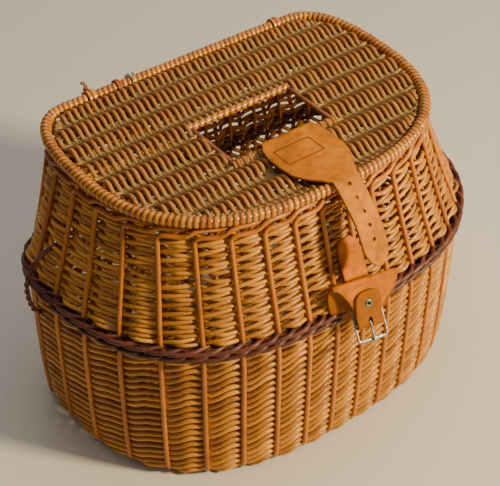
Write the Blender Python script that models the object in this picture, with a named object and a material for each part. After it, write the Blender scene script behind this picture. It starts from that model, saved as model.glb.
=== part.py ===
"""A willow fishing creel: a pot-bellied D-shaped basket with a hinged lid, a fish hole,
a leather lid strap and a buckle. Metres, +Z up, the front faces -Y, the base rests on Z = 0."""

import math

import bmesh
import bpy
from mathutils import Matrix, Vector

# Running gap between touching pieces, and the overrun of every cutter past what it cuts
GAP = 0.0003
SEAT_GAP = 0.0004
OVERRUN = 0.004
WELD = 0.0000001

# Willow rod radii
STAKE_RADIUS = 0.0020
STICK_RADIUS = 0.0018
BORDER_RADIUS = 0.0036
UPSETT_RADIUS = 0.0026
WALE_RADIUS = 0.0020
RIM_RADIUS = 0.0050
WEAVE_THICKNESS = 0.0036
LID_WEAVE_THICKNESS = 0.0032

# Heights of the basket
BASE_THICKNESS = 0.0060
WALL_FOOT_Z = 0.0045
BAND_Z = 0.1560
BAND_HALF_HEIGHT = 0.0056
LID_Z = 0.2620

# Plan of the basket's belly, measured on the line of its stakes
BELLY_HALF_WIDTH = 0.1985
BELLY_FRONT_Y = -0.1468
BELLY_REAR_Y = 0.0960
BELLY_MID_Y = 0.0280
BELLY_REAR_FLAT = 0.0900

# Plan of the base, on the same line
BASE_END_INSET = 0.0095
BASE_FRONT_INSET = 0.0063
BASE_REAR_INSET = 0.0025

# Plan of the lid's rim, on the line of its rod
LID_HALF_WIDTH = 0.1600
LID_FRONT_Y = -0.1160
LID_REAR_Y = 0.1040
LID_MID_Y = 0.0240
LID_REAR_FLAT = 0.1180
BORDER_INSET = 0.0020

# How square the plan's corners are, and how the wall swells and closes
FRONT_POWER_SHARE = 2.6
REAR_POWER_SHARE = 2.5
SWELL_POWER_SHARE = 3.5
NECK_POWER_SHARE = 0.82
OUTLINE_STEPS = 36

# Stakes: every second one shows outside, the others inside
STAKE_COUNT = 66
BELLY_SPREAD_SHARE = 0.15
RIM_SPREAD_SHARE = 0.08
STAKE_SHIFT = -0.0050
STAKE_SIDES = 3

# Depth of the pleats at the foot, on the belly, beside the band and at the neck
PLEAT_FOOT = 0.0022
PLEAT_BELLY = 0.0034
PLEAT_BAND = 0.0044
PLEAT_NECK = 0.0028
FOOT_RISE = 0.0080
LOWER_RISES_SHARE = (0.06,)
BAND_RUN_IN = 0.0120

# Three rods of the dark band
WALE_RODS = 3
WALE_REACH = 0.0055
WALE_LIFT = 0.0030
WALE_SIDES = 4
WALE_REACH_SHARES = (1.0, 1.0, -0.22, -1.0, -0.22, 1.0)

# Lid: sticks run left to right, the weave runs over and under them
STICK_PITCH = 0.0130
HOLE_REAR_ROD_Y = 0.0165
STICKS_BEHIND_HOLE = 6
STICKS_ACROSS_HOLE = 4
STICKS_BEFORE_HOLE = 4
LID_PLEAT = 0.0041
HOLE_POST_X = 0.0515
HOLE_POST_RADIUS = 0.0022
HOLE_WRAP_RADIUS = 0.0032

# Hinge loops round the rear of the rim
HINGE_LEFT_X = -0.0940
HINGE_RIGHT_X = 0.1060
THONG_GAP_COUNT = 2
WIRE_GAP_COUNT = 3
CANE_LOOP_WIDTH = 0.0080
CANE_LOOP_THICKNESS = 0.0018
THONG_WIDTH = 0.0050
THONG_THICKNESS = 0.0015
WIRE_RADIUS = 0.0008
WIRE_EYE_RADIUS = 0.0040
NOTCH_CLEARANCE = 0.0010
LOOP_TOE = 0.0060

# Lid strap
LEATHER = 0.0024
STRAP_X = 0.0040
STRAP_HALF_WIDTH = 0.0128
PLATE_HALF_WIDTH = 0.0285
PLATE_BULGE_HALF_WIDTH = 0.0325
PLATE_SWAY = 0.0060
PLATE_UNDERLAP = 0.0240
PLATE_WIDTH_SHARES = ((0.18, 0.35), (0.36, 0.85), (0.52, 1.0), (0.66, 0.72), (0.78, 0.20),
                      (0.88, -0.45), (1.0, -1.0))
TONGUE_BEND_SHARE = 0.6
TONGUE_LENGTH_SHARE = 1.0
TONGUE_START_DEG = 38.0
TONGUE_END_DEG = 62.0
TONGUE_HOLES = 5
TONGUE_HOLE_RADIUS = 0.0015
FIRST_HOLE_SHARE = 0.08
HOLE_PITCH_SHARE = 0.156
BEND_CLEARANCE = 0.0004
TIP_SHARES = ((0.55, 0.92), (0.25, 0.72), (0.05, 0.38))
ROOT_SHARES = ((-0.92, 0.38), (-0.70, 0.72), (0.0, 1.0))

# Buckle leather on the basket's front
BUCKLE_X = -0.0028
BUCKLE_TURN_DEG = -12.0
BUCKLE_LEATHER = 0.0020
FOLD_HEIGHT_SHARE = 0.344
FOLD_BEND_RADIUS = 0.0022
TAB_FOOT_DROP = 0.0050
TAB_HALF_WIDTH = 0.0305
TAB_FOOT_HALF_WIDTH = 0.0240
FLAP_DROP_DEG = 76.0
FLAP_LENGTH = 0.0385
FLAP_NECK_SHARES = ((0.0, 1.0), (0.10, 0.90), (0.20, 0.62), (0.31, 0.28), (0.44, 0.04), (0.60, 0.0))
FLAP_HALF_WIDTH = 0.0119
FRONT_TAB_LENGTH = 0.0300
FRONT_TAB_CLOSE = 0.0080
ANCHOR_HALF_WIDTH = 0.0125
ANCHOR_TOP_SHARE = 0.56
ANCHOR_LOW_SHARE = 0.11

# Buckle with its centre bar, prong and rivet
FRAME_HALF_WIDTH = 0.0142
FRAME_HALF_LENGTH = 0.0155
FRAME_SIDE_BAR = 0.0018
FRAME_END_BAR = 0.0030
FRAME_THICKNESS = 0.0018
CENTRE_BAR_RADIUS = 0.0013
FRAME_TILT_DEG = 23.0
PRONG_HALF_WIDTH = 0.0014
PRONG_HUB_WALL = 0.0011
PRONG_THICKNESS = 0.0016
PRONG_OVERHANG = 0.0020
PRONG_SLOT_HALF_WIDTH = 0.0021
PRONG_SLOT_UP = 0.0065
PIN_CLEARANCE = 0.0002
RIVET_RADIUS = 0.0022
RIVET_BORE = 0.0012
RIVET_FLANGE = 0.0036
RIVET_FLANGE_THICKNESS = 0.0007
RIVET_UP = 0.0187

# Harness loops at the ends
HARNESS_Y = 0.0300
HARNESS_TOP_Z = 0.1900
HARNESS_LOW_Z = 0.1300
HARNESS_RADIUS = 0.0023
HARNESS_SPACE = 0.0055


def remove_everything():
    for old in list(bpy.data.objects):
        bpy.data.objects.remove(old, do_unlink=True)


def material(name, colour, roughness, metallic=0.0):
    made = bpy.data.materials.new(name)
    made.use_nodes = True
    shader = made.node_tree.nodes["Principled BSDF"]
    shader.inputs["Base Color"].default_value = (*colour, 1.0)
    shader.inputs["Roughness"].default_value = roughness
    shader.inputs["Metallic"].default_value = metallic
    return made


def willow():
    return material("buff_willow", (0.50, 0.24, 0.08), 0.45)


def lid_willow():
    return material("weathered_willow", (0.36, 0.19, 0.09), 0.55)


def cane():
    return material("golden_cane", (0.62, 0.27, 0.06), 0.28)


def dark_willow():
    return material("dark_willow", (0.10, 0.030, 0.032), 0.40)


def grain_leather():
    return material("grain_leather", (0.66, 0.24, 0.05), 0.50)


def flesh_leather():
    return material("flesh_leather", (0.45, 0.18, 0.06), 0.80)


def steel():
    return material("dull_steel", (0.42, 0.42, 0.38), 0.42, 1.0)


def blend(first, second, share):
    """The mix of two tuples of sizes, 0 giving the first and 1 the second."""
    return tuple(a + (b - a) * share for a, b in zip(first, second))


def plan_outline(plan):
    """Points round a D-shaped plan, from the middle of the front towards +X and back."""
    half_width, front_y, rear_y, mid_y, rear_flat = plan
    front_share = 2 / FRONT_POWER_SHARE
    rear_share = 2 / REAR_POWER_SHARE
    right = []
    for step in range(OUTLINE_STEPS + 1):
        turn = step / OUTLINE_STEPS * math.pi / 2
        x = half_width * math.sin(turn) ** front_share
        y = mid_y - (mid_y - front_y) * max(0, math.cos(turn)) ** front_share
        right.append(Vector((x, y)))
    for step in range(1, OUTLINE_STEPS + 1):
        turn = step / OUTLINE_STEPS * math.pi / 2
        x = rear_flat + (half_width - rear_flat) * max(0, math.cos(turn)) ** rear_share
        y = mid_y + (rear_y - mid_y) * math.sin(turn) ** rear_share
        right.append(Vector((x, y)))
    left = [Vector((-point.x, point.y)) for point in reversed(right[1:])]
    return right + left


def along_outline(plan, shares):
    """Points and outward normals at the given shares of the way round the plan."""
    points = plan_outline(plan)
    closed = points + points[:1]
    travelled = [0.0]
    for here, there in zip(closed, closed[1:]):
        travelled.append(travelled[-1] + (there - here).length)
    found = []
    for share in shares:
        wanted = (share % 1.0) * travelled[-1]
        index = 0
        while travelled[index + 1] < wanted:
            index += 1
        here = closed[index]
        there = closed[index + 1]
        length = travelled[index + 1] - travelled[index]
        point = here.lerp(there, (wanted - travelled[index]) / length)
        before = closed[index - 1] if index else closed[-2]
        after = closed[(index + 2) % (len(closed) - 1)]
        tangent = (after - before).normalized()
        found.append((point, Vector((tangent.y, -tangent.x))))
    return found


def lid_plan(inset=0.0):
    return (LID_HALF_WIDTH - inset, LID_FRONT_Y + inset, LID_REAR_Y - inset, LID_MID_Y,
            LID_REAR_FLAT - inset)


def belly_plan():
    return (BELLY_HALF_WIDTH, BELLY_FRONT_Y, BELLY_REAR_Y, BELLY_MID_Y, BELLY_REAR_FLAT)


def base_plan():
    """The foot, drawn in a little from the belly on every side."""
    end_x = BELLY_HALF_WIDTH - BASE_END_INSET
    front_y = BELLY_FRONT_Y + BASE_FRONT_INSET
    return end_x, front_y, BELLY_REAR_Y - BASE_REAR_INSET, BELLY_MID_Y, BELLY_REAR_FLAT


def border_z():
    return LID_Z - RIM_RADIUS - GAP - BORDER_RADIUS


def ring_z():
    return border_z() - BORDER_RADIUS - GAP - UPSETT_RADIUS


def wall_top_z():
    return ring_z() - UPSETT_RADIUS - GAP


def body_plan(z):
    """The basket's plan at a height, and the spread of its stakes there."""
    if z < BAND_Z:
        fall = 1 - max(0, z - WALL_FOOT_Z) / (BAND_Z - WALL_FOOT_Z)
        swell = (1 - fall ** SWELL_POWER_SHARE) ** (1 / SWELL_POWER_SHARE)
        return blend(base_plan(), belly_plan(), swell), BELLY_SPREAD_SHARE
    band_high = BAND_Z + BAND_HALF_HEIGHT
    climb = min(1, max(0, z - band_high) / (border_z() - band_high)) ** NECK_POWER_SHARE
    plan = blend(belly_plan(), lid_plan(BORDER_INSET), climb)
    return plan, BELLY_SPREAD_SHARE + (RIM_SPREAD_SHARE - BELLY_SPREAD_SHARE) * climb


def stake_shares(plan, spread):
    """Where the stakes stand round a plan, closer on the front and back than at the ends."""
    around = plan_outline(plan)
    length = sum((there - here).length for here, there in zip(around, around[1:] + around[:1]))
    shares = []
    for stake in range(STAKE_COUNT):
        share = stake / STAKE_COUNT
        shares.append(share - spread * math.sin(4 * math.pi * share) / (4 * math.pi))
    return [share + STAKE_SHIFT / length for share in shares]


def stake_places(z):
    plan, spread = body_plan(z)
    return along_outline(plan, stake_shares(plan, spread))


def shows_outside(stake):
    return stake % 2 == 1


def pleat_depth(z):
    """How far the weave swings to each side of the line of the stakes."""
    band_low = BAND_Z - BAND_HALF_HEIGHT
    band_high = BAND_Z + BAND_HALF_HEIGHT
    stops = (
        (WALL_FOOT_Z, PLEAT_FOOT),
        (WALL_FOOT_Z + FOOT_RISE, PLEAT_BELLY),
        (band_low - BAND_RUN_IN, PLEAT_BELLY),
        (band_low, PLEAT_BAND),
        (band_high, PLEAT_BAND),
        (band_high + BAND_RUN_IN, PLEAT_NECK),
        (wall_top_z(), PLEAT_NECK),
    )
    if z <= stops[0][0]:
        return stops[0][1]
    for (low, low_depth), (high, high_depth) in zip(stops, stops[1:]):
        if z <= high:
            return low_depth + (high_depth - low_depth) * (z - low) / (high - low)
    return stops[-1][1]


def stake_offset(z):
    """How far a stake that shows stands out from the line, and a hidden one stands in."""
    return PLEAT_BAND + GAP - pleat_depth(z)


def lower_levels():
    band_low = BAND_Z - BAND_HALF_HEIGHT
    span = band_low - WALL_FOOT_Z
    rises = [WALL_FOOT_Z + share * span for share in LOWER_RISES_SHARE]
    return [WALL_FOOT_Z, *rises, band_low - BAND_RUN_IN, band_low]


def upper_levels():
    band_high = BAND_Z + BAND_HALF_HEIGHT
    middle = (band_high + BAND_RUN_IN + wall_top_z()) / 2
    return [band_high, band_high + BAND_RUN_IN, middle, wall_top_z()]


def finish(name, bm, made_of, smooth_degrees=40.0):
    """Turns a bmesh into a named object whose faces all point outwards."""
    bmesh.ops.remove_doubles(bm, verts=bm.verts, dist=WELD)
    bmesh.ops.recalc_face_normals(bm, faces=bm.faces)
    mesh = bpy.data.meshes.new(name)
    bm.to_mesh(mesh)
    bm.free()
    mesh.shade_smooth()
    mesh.set_sharp_from_angle(angle=math.radians(smooth_degrees))
    made = bpy.data.objects.new(name, mesh)
    bpy.context.scene.collection.objects.link(made)
    if made_of:
        mesh.materials.append(made_of)
    return made


def loft(bm, rings, closed=False):
    """Skins a row of rings of points, capping both ends unless the row closes on itself."""
    rows = [[bm.verts.new(point) for point in ring] for ring in rings]
    pairs = list(zip(rows, rows[1:]))
    if closed:
        pairs.append((rows[-1], rows[0]))
    for first, second in pairs:
        count = len(first)
        for index in range(count):
            after = (index + 1) % count
            bm.faces.new((first[index], first[after], second[after], second[index]))
    if not closed:
        bm.faces.new(rows[0])
        bm.faces.new(rows[-1])


def tube_rings(points, radius, sides, reference, closed=False):
    """Rings of points round a path; reference is a vector, or one for each point."""
    radii = radius if isinstance(radius, (list, tuple)) else [radius] * len(points)
    rings = []
    last = len(points) - 1
    for index, point in enumerate(points):
        before = points[index - 1] if closed or index else point
        after = points[(index + 1) % len(points)] if closed or index < last else point
        tangent = (after - before).normalized()
        lead = reference[index] if isinstance(reference, list) else reference
        side = (lead - tangent * lead.dot(tangent)).normalized()
        up = tangent.cross(side)
        ring = []
        for corner in range(sides):
            angle = (corner + 0.5) / sides * math.tau
            arm = side * math.cos(angle) + up * math.sin(angle)
            ring.append(point + arm * radii[index])
        rings.append(ring)
    return rings


def rod(name, points, radius, made_of, sides=6, reference=Vector((0, 0, 1)), closed=False):
    bm = bmesh.new()
    loft(bm, tube_rings(points, radius, sides, reference, closed), closed)
    return finish(name, bm, made_of, 60.0)


def box_mesh(name, low, high, turn=None):
    """A cutter: a plain box between two corners, turned by a matrix if one is given."""
    bm = bmesh.new()
    bmesh.ops.create_cube(bm, size=1)
    size = high - low
    place = Matrix.Translation((low + high) / 2) @ Matrix.Diagonal((*size, 1.0))
    bmesh.ops.transform(bm, matrix=turn @ place if turn else place, verts=bm.verts)
    return as_cutter(finish(name, bm, None))


def cylinder_cutter(name, centre, axis, radius, half_length, sides=8):
    bm = bmesh.new()
    bmesh.ops.create_cone(bm, cap_ends=True, segments=sides, radius1=radius, radius2=radius,
                          depth=2 * half_length)
    turn = axis.to_track_quat("Z", "Y").to_matrix().to_4x4()
    bmesh.ops.transform(bm, matrix=Matrix.Translation(centre) @ turn, verts=bm.verts)
    return as_cutter(finish(name, bm, None))


def as_cutter(made):
    made.hide_render = True
    made.display_type = "WIRE"
    return made


def cut(piece, cutter, operation="DIFFERENCE"):
    change = piece.modifiers.new(cutter.name, "BOOLEAN")
    change.operation = operation
    change.solver = "EXACT"
    change.object = cutter
    return piece


def out(point, normal, distance, z):
    """A point at a distance outside the plan's line, at a height."""
    return Vector((*(point + normal * distance), z))


def surface_rows(levels):
    """For each level, every stake's point on the basket's mean surface and the normal there."""
    places = [stake_places(z) for z in levels]
    last = len(levels) - 1
    rows = []
    for index in range(len(levels)):
        below = max(index - 1, 0)
        above = min(index + 1, last)
        row = []
        for stake, (point, plan_normal) in enumerate(places[index]):
            low = Vector((*places[below][stake][0], levels[below]))
            high = Vector((*places[above][stake][0], levels[above]))
            sideways = Vector((-plan_normal.y, plan_normal.x, 0))
            normal = sideways.cross(high - low).normalized()
            row.append((Vector((*point, levels[index])), normal))
        rows.append(row)
    return rows


def wall(name, levels):
    """One woven wall: a pleated shell whose pleats go in behind every stake that shows."""
    half = WEAVE_THICKNESS / 2
    rows = surface_rows(levels)
    sections = []
    for stake in range(STAKE_COUNT):
        outer = []
        inner = []
        for index, z in enumerate(levels):
            point, normal = rows[index][stake]
            depth = pleat_depth(z)
            swing = -depth if shows_outside(stake) else depth
            outer.append(point + normal * (swing + half))
            inner.append(point + normal * (swing - half))
            if z > WALL_FOOT_Z and index in (0, len(levels) - 1):
                outer[-1].z = z
                inner[-1].z = z
        sections.append(outer + inner[::-1])
    bm = bmesh.new()
    loft(bm, sections, closed=True)
    return finish(name, bm, willow(), 60.0)


def notch_wall(piece):
    """Small gaps in the wall's top edge, where the hinge loops pass under the ring of stakes."""
    deep = CANE_LOOP_THICKNESS + 2 * SEAT_GAP
    for number, (x, half_width) in enumerate(hinge_notches()):
        low = Vector((x - half_width, LID_MID_Y, wall_top_z() - deep))
        high = Vector((x + half_width, LID_REAR_Y + OVERRUN, wall_top_z() + deep))
        cut(piece, box_mesh(f"wall_notch_{number}", low, high))
    return piece


def base():
    """The flat woven base, inside the foot of the wall."""
    plan, spread = body_plan(WALL_FOOT_Z)
    inset = PLEAT_FOOT + WEAVE_THICKNESS / 2 + SEAT_GAP
    places = along_outline(plan, stake_shares(plan, spread))
    bm = bmesh.new()
    rings = []
    for z in (0.0, BASE_THICKNESS):
        rings.append([out(point, normal, -inset, z) for point, normal in places])
    loft(bm, rings)
    return finish("base", bm, willow())


def stakes():
    """All stakes, outer and inner, rising from the foot into the ring that they are bent to form."""
    levels = sorted({*lower_levels(), BAND_Z, *upper_levels()[:-1], ring_z()})
    rows = surface_rows(levels)
    bm = bmesh.new()
    for stake in range(STAKE_COUNT):
        side = 1 if shows_outside(stake) else -1
        path = []
        for z, row in zip(levels, rows):
            point, normal = row[stake]
            path.append(point + normal * side * stake_offset(z))
        path[-1].z = ring_z()
        lead = path[1] - path[0]
        path[0] += lead.normalized() * STAKE_RADIUS
        normal = rows[len(rows) // 2][stake][1]
        loft(bm, tube_rings(path, STAKE_RADIUS, STAKE_SIDES, normal))
    rods = as_cutter(finish("stake_rods", bm, None, 60.0))
    plan, spread = body_plan(ring_z())
    around = along_outline(plan, stake_shares(plan, spread))
    path = [out(point, normal, 0, ring_z()) for point, normal in around]
    ring = rod("stakes", path, UPSETT_RADIUS, willow(), 6, closed=True)
    return cut(ring, rods, "UNION")


def border():
    """The rod border on top of the stakes."""
    plan, spread = body_plan(border_z())
    around = along_outline(plan, stake_shares(plan, spread))
    path = [out(point, normal, 0, border_z()) for point, normal in around]
    return rod("border_rod", path, BORDER_RADIUS, willow(), 8, closed=True)


def wale_rod(number):
    """One rod of the dark band: before two stakes, behind the third, rising as it goes."""
    steps = len(WALE_REACH_SHARES)
    total = STAKE_COUNT * steps // WALE_RODS
    half_steps = steps // WALE_RODS
    plan, spread = body_plan(BAND_Z)
    shares = stake_shares(plan, spread)
    path = []
    for index in range(total):
        stake = index // half_steps
        within = (index % half_steps) / half_steps
        here = shares[stake]
        there = shares[(stake + 1) % STAKE_COUNT] + (1 if stake + 1 == STAKE_COUNT else 0)
        point, normal = along_outline(plan, [here + (there - here) * within])[0]
        phase = (index + 1 + number * half_steps) % steps
        lift = WALE_LIFT * math.sin(phase / steps * math.tau)
        path.append(out(point, normal, WALE_REACH * WALE_REACH_SHARES[phase], BAND_Z + lift))
    return rod(f"band_rod_{number + 1}", path, WALE_RADIUS, dark_willow(), WALE_SIDES, closed=True)


def wall_place(z, stake):
    """A stake's place and normal on a wall, which is straight between its levels."""
    levels = lower_levels() if z < BAND_Z else upper_levels()
    above = next((index for index in range(1, len(levels)) if z <= levels[index]), len(levels) - 1)
    low, normal = stake_places(levels[above - 1])[stake]
    high, high_normal = stake_places(levels[above])[stake]
    share = (z - levels[above - 1]) / (levels[above] - levels[above - 1])
    return low.lerp(high, share), normal.lerp(high_normal, share).normalized()


def harness_loop(name, side):
    """A bent rod standing off the band at one end, for the harness strap."""
    places = stake_places(BAND_Z)
    hidden = [stake for stake in range(STAKE_COUNT) if not shows_outside(stake)]
    beside = [stake for stake in hidden if places[stake][0].x * side > 0]
    chosen = min(beside, key=lambda stake: abs(places[stake][0].y - HARNESS_Y))
    feet = []
    ends = []
    for z in (HARNESS_LOW_Z, HARNESS_TOP_Z):
        point, normal = wall_place(z, chosen)
        ridge = pleat_depth(z) + WEAVE_THICKNESS / 2 + SEAT_GAP
        for near_z in (z - HARNESS_RADIUS, z + HARNESS_RADIUS):
            lean = wall_place(near_z, chosen)[0] - point
            ridge += max(0, lean.dot(normal))
        feet.append(out(point, normal, ridge, z))
        ends.append(out(point, normal, ridge + HARNESS_RADIUS, z))
    point, normal = places[chosen]
    crest = WALE_REACH + WALE_RADIUS + HARNESS_SPACE + HARNESS_RADIUS
    middle = out(point, normal, crest, BAND_Z)
    steps = 10
    path = []
    for step in range(steps + 1):
        share = step / steps
        foot = ends[0].lerp(ends[1], share)
        swell = math.sin(math.pi * share) ** (1 / 2) if 0 < step < steps else 0.0
        place = foot.lerp(middle, swell)
        path.append(Vector((place.x, place.y, foot.z)))
    path = [feet[0], *path, feet[1]]
    return rod(name, path, HARNESS_RADIUS, dark_willow(), 6, Vector((0, 1, 0)))


def lid_rim():
    """The wrapped rim; its straight rear stretch turns in the hinge loops."""
    shares = [step / (STAKE_COUNT + 6) for step in range(STAKE_COUNT + 6)]
    path = [out(point, normal, 0, LID_Z) for point, normal in along_outline(lid_plan(), shares)]
    return rod("lid_rim", path, RIM_RADIUS, cane(), 8, closed=True)


def stick_y(number):
    """Sticks are counted from the hole's rear rod, towards the rear."""
    return HOLE_REAR_ROD_Y + number * STICK_PITCH


def hole_front_y():
    return stick_y(-STICKS_ACROSS_HOLE - 1)


def lid_half_width_at(y):
    """Half the clear width between the rim's rods at a depth."""
    clear = plan_outline(lid_plan(RIM_RADIUS + SEAT_GAP))
    right = [point for point in clear if point.x >= 0]
    widest = 0.0
    for here, there in zip(right, right[1:]):
        low, high = sorted((here.y, there.y))
        if low <= y <= high and high > low:
            share = (y - here.y) / (there.y - here.y)
            widest = max(widest, here.x + (there.x - here.x) * share)
    return widest


def lid_weave():
    """The lid's woven field: one sheet pleated over and under the sticks, with the fish hole."""
    first = -STICKS_ACROSS_HOLE - STICKS_BEFORE_HOLE - 2
    last = STICKS_BEHIND_HOLE + 1
    numbers = range(first, last + 1)
    half = LID_WEAVE_THICKNESS / 2
    top = []
    bottom = []
    for number in numbers:
        swing = LID_PLEAT if number % 2 == 0 else -LID_PLEAT
        top.append((stick_y(number), LID_Z + swing + half))
        bottom.append((stick_y(number), LID_Z + swing - half))
    profile = top + bottom[::-1]
    reach = LID_HALF_WIDTH + OVERRUN
    bm = bmesh.new()
    loft(bm, [[Vector((x, y, z)) for y, z in profile] for x in (-reach, reach)])
    sheet = finish("lid_weave", bm, lid_willow())
    edge = as_cutter(lid_field_prism("lid_field_edge"))
    cut(sheet, edge, "INTERSECT")
    post = HOLE_POST_X + HOLE_POST_RADIUS + SEAT_GAP
    front = hole_front_y() - STICK_RADIUS - SEAT_GAP
    rear = HOLE_REAR_ROD_Y + HOLE_WRAP_RADIUS + SEAT_GAP
    tall = Vector((0, 0, LID_PLEAT + LID_WEAVE_THICKNESS + OVERRUN))
    low = Vector((-post, front, LID_Z)) - tall
    high = Vector((post, rear, LID_Z)) + tall
    cut(sheet, box_mesh("fish_hole", low, high))
    for number, (x, half_width) in enumerate(hinge_notches()):
        depth = LID_REAR_Y - RIM_RADIUS - SEAT_GAP - 2 * CANE_LOOP_THICKNESS + GAP
        low = Vector((x - half_width, depth, LID_Z)) - tall
        high = Vector((x + half_width, LID_REAR_Y, LID_Z)) + tall
        cut(sheet, box_mesh(f"hinge_notch_{number}", low, high))
    return sheet


def lid_field_prism(name):
    """The space inside the lid's rim, as a tall prism."""
    shares = [step / STAKE_COUNT for step in range(STAKE_COUNT)]
    around = along_outline(lid_plan(RIM_RADIUS + SEAT_GAP), shares)
    tall = LID_PLEAT + LID_WEAVE_THICKNESS + OVERRUN
    bm = bmesh.new()
    rings = []
    for z in (LID_Z - tall, LID_Z + tall):
        rings.append([Vector((*point, z)) for point, normal in around])
    loft(bm, rings)
    return finish(name, bm, None)


def lid_sticks():
    """The sticks that the lid is woven on; the fish hole interrupts those that cross it."""
    across = Vector((0, 0, 1))
    for number in range(-STICKS_ACROSS_HOLE - 1 - STICKS_BEFORE_HOLE, STICKS_BEHIND_HOLE + 1):
        y = stick_y(number)
        sides = (y - STICK_RADIUS, y + STICK_RADIUS)
        end = min(lid_half_width_at(side_y) for side_y in sides) - SEAT_GAP
        label = number + STICKS_ACROSS_HOLE + STICKS_BEFORE_HOLE + 2
        if number == 0:
            hole_rear_rod(y, end)
        elif -STICKS_ACROSS_HOLE <= number < 0:
            stop = HOLE_POST_X + HOLE_POST_RADIUS + GAP
            for side, word in ((-1, "left"), (1, "right")):
                points = [Vector((side * x, y, LID_Z)) for x in (stop, end)]
                rod(f"lid_stick_{label:02d}_{word}", points, STICK_RADIUS, lid_willow(), 6, across)
        else:
            name = "hole_front_rod" if y == hole_front_y() else f"lid_stick_{label:02d}"
            points = [Vector((x, y, LID_Z)) for x in (-end, end)]
            rod(name, points, STICK_RADIUS, lid_willow(), 6, across)


def hole_rear_rod(y, end):
    """The fish hole's rear rod, thicker where cane is wound on it."""
    wound = HOLE_POST_X + HOLE_POST_RADIUS
    taper = HOLE_WRAP_RADIUS
    stations = (
        (-end, STICK_RADIUS),
        (-wound - GAP, STICK_RADIUS),
        (-wound + taper, HOLE_WRAP_RADIUS),
        (wound - taper, HOLE_WRAP_RADIUS),
        (wound + GAP, STICK_RADIUS),
        (end, STICK_RADIUS),
    )
    points = [Vector((x, y, LID_Z)) for x, radius in stations]
    radii = [radius for x, radius in stations]
    rod("hole_rear_rod", points, radii, cane(), 8, Vector((0, 0, 1)))


def hole_posts():
    """The bare sticks at the sides of the fish hole."""
    front = hole_front_y() + STICK_RADIUS + GAP
    rear = HOLE_REAR_ROD_Y - HOLE_WRAP_RADIUS - GAP
    for side, word in ((-1, "left"), (1, "right")):
        points = [Vector((side * HOLE_POST_X, y, LID_Z)) for y in (front, rear)]
        rod(f"hole_post_{word}", points, HOLE_POST_RADIUS, dark_willow(), 8)


def rear_gap_x(wanted, gaps_on=0):
    """The middle of the gap between two rear stakes nearest to a place, or of one further right."""
    rear = [point.x for point, normal in stake_places(wall_top_z()) if point.y > LID_MID_Y]
    rear.sort()
    middles = [(here + there) / 2 for here, there in zip(rear, rear[1:])]
    nearest = min(middles, key=lambda middle: abs(middle - wanted))
    return middles[middles.index(nearest) + gaps_on]


def wire_x():
    return rear_gap_x(HINGE_LEFT_X, WIRE_GAP_COUNT)


def hinge_pieces():
    """Name, place, width, thickness and material of each loop round the rear rods."""
    return (
        ("hinge_loop_left", rear_gap_x(HINGE_LEFT_X), CANE_LOOP_WIDTH, CANE_LOOP_THICKNESS, cane),
        ("hinge_loop_right", rear_gap_x(HINGE_RIGHT_X), CANE_LOOP_WIDTH, CANE_LOOP_THICKNESS, cane),
        ("hinge_thong", rear_gap_x(HINGE_LEFT_X, THONG_GAP_COUNT), THONG_WIDTH, THONG_THICKNESS,
         grain_leather),
    )


def hinge_notches():
    """Place and half width of each notch that a loop needs in the lid and in the wall."""
    notches = []
    for name, x, width, thickness, made_of in hinge_pieces():
        notches.append((x, width / 2 + NOTCH_CLEARANCE))
    notches.append((wire_x(), WIRE_RADIUS + NOTCH_CLEARANCE))
    return notches


def loop_path(distance):
    """A closed path in the YZ plane round the lid's rod, the border and the stakes' ring."""
    low_z = ring_z() - UPSETT_RADIUS
    reach = RIM_RADIUS + distance
    path = []
    steps = 8
    for step in range(steps + 1):
        turn = step / steps * math.pi
        path.append((LID_REAR_Y + reach * math.cos(turn), LID_Z + reach * math.sin(turn)))
    corner = LOOP_TOE / 2
    for share in (0.0, 0.5, 1.0):
        turn = share * math.pi / 2
        y = LID_REAR_Y - reach + corner * (1 - math.cos(turn))
        path.append((y, low_z - distance + corner * (1 - math.sin(turn))))
    for share in (1.0, 0.5, 0.0):
        turn = share * math.pi / 2
        y = LID_REAR_Y + reach - corner * (1 - math.cos(turn))
        path.append((y, low_z - distance + corner * (1 - math.sin(turn))))
    return path


def hinge_loops():
    """Cane and leather loops; the lid's rim turns inside them."""
    for name, x, width, thickness, made_of in hinge_pieces():
        inner = loop_path(SEAT_GAP)
        outer = loop_path(SEAT_GAP + thickness)
        rings = []
        for (inner_y, inner_z), (outer_y, outer_z) in zip(inner, outer):
            rings.append([
                Vector((x - width / 2, inner_y, inner_z)),
                Vector((x + width / 2, inner_y, inner_z)),
                Vector((x + width / 2, outer_y, outer_z)),
                Vector((x - width / 2, outer_y, outer_z)),
            ])
        bm = bmesh.new()
        loft(bm, rings, closed=True)
        finish(name, bm, made_of())


def wire_loop():
    """A repair wire round the rear rods, with one small curl behind the rim."""
    x = wire_x()
    reach = RIM_RADIUS + SEAT_GAP + WIRE_RADIUS
    foot_z = ring_z() - UPSETT_RADIUS
    path = [Vector((x, LID_REAR_Y - reach, foot_z))]
    steps = 6
    for step in range(steps + 1):
        turn = (1 - step / steps) * math.pi
        path.append(Vector((x, LID_REAR_Y + reach * math.cos(turn), LID_Z + reach * math.sin(turn))))
    drift = 2 * WIRE_RADIUS + GAP
    curl = 10
    for step in range(1, curl + 1):
        turn = step / curl * math.tau
        around_x = x + WIRE_EYE_RADIUS * (1 - math.cos(turn))
        around_z = LID_Z - WIRE_EYE_RADIUS * math.sin(turn)
        path.append(Vector((around_x, LID_REAR_Y + reach + drift * step / curl, around_z)))
    path.append(Vector((x, LID_REAR_Y + reach + drift, foot_z)))
    return rod("hinge_wire", path, WIRE_RADIUS, steel(), 5, Vector((1, 1, 1)).normalized())


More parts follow.
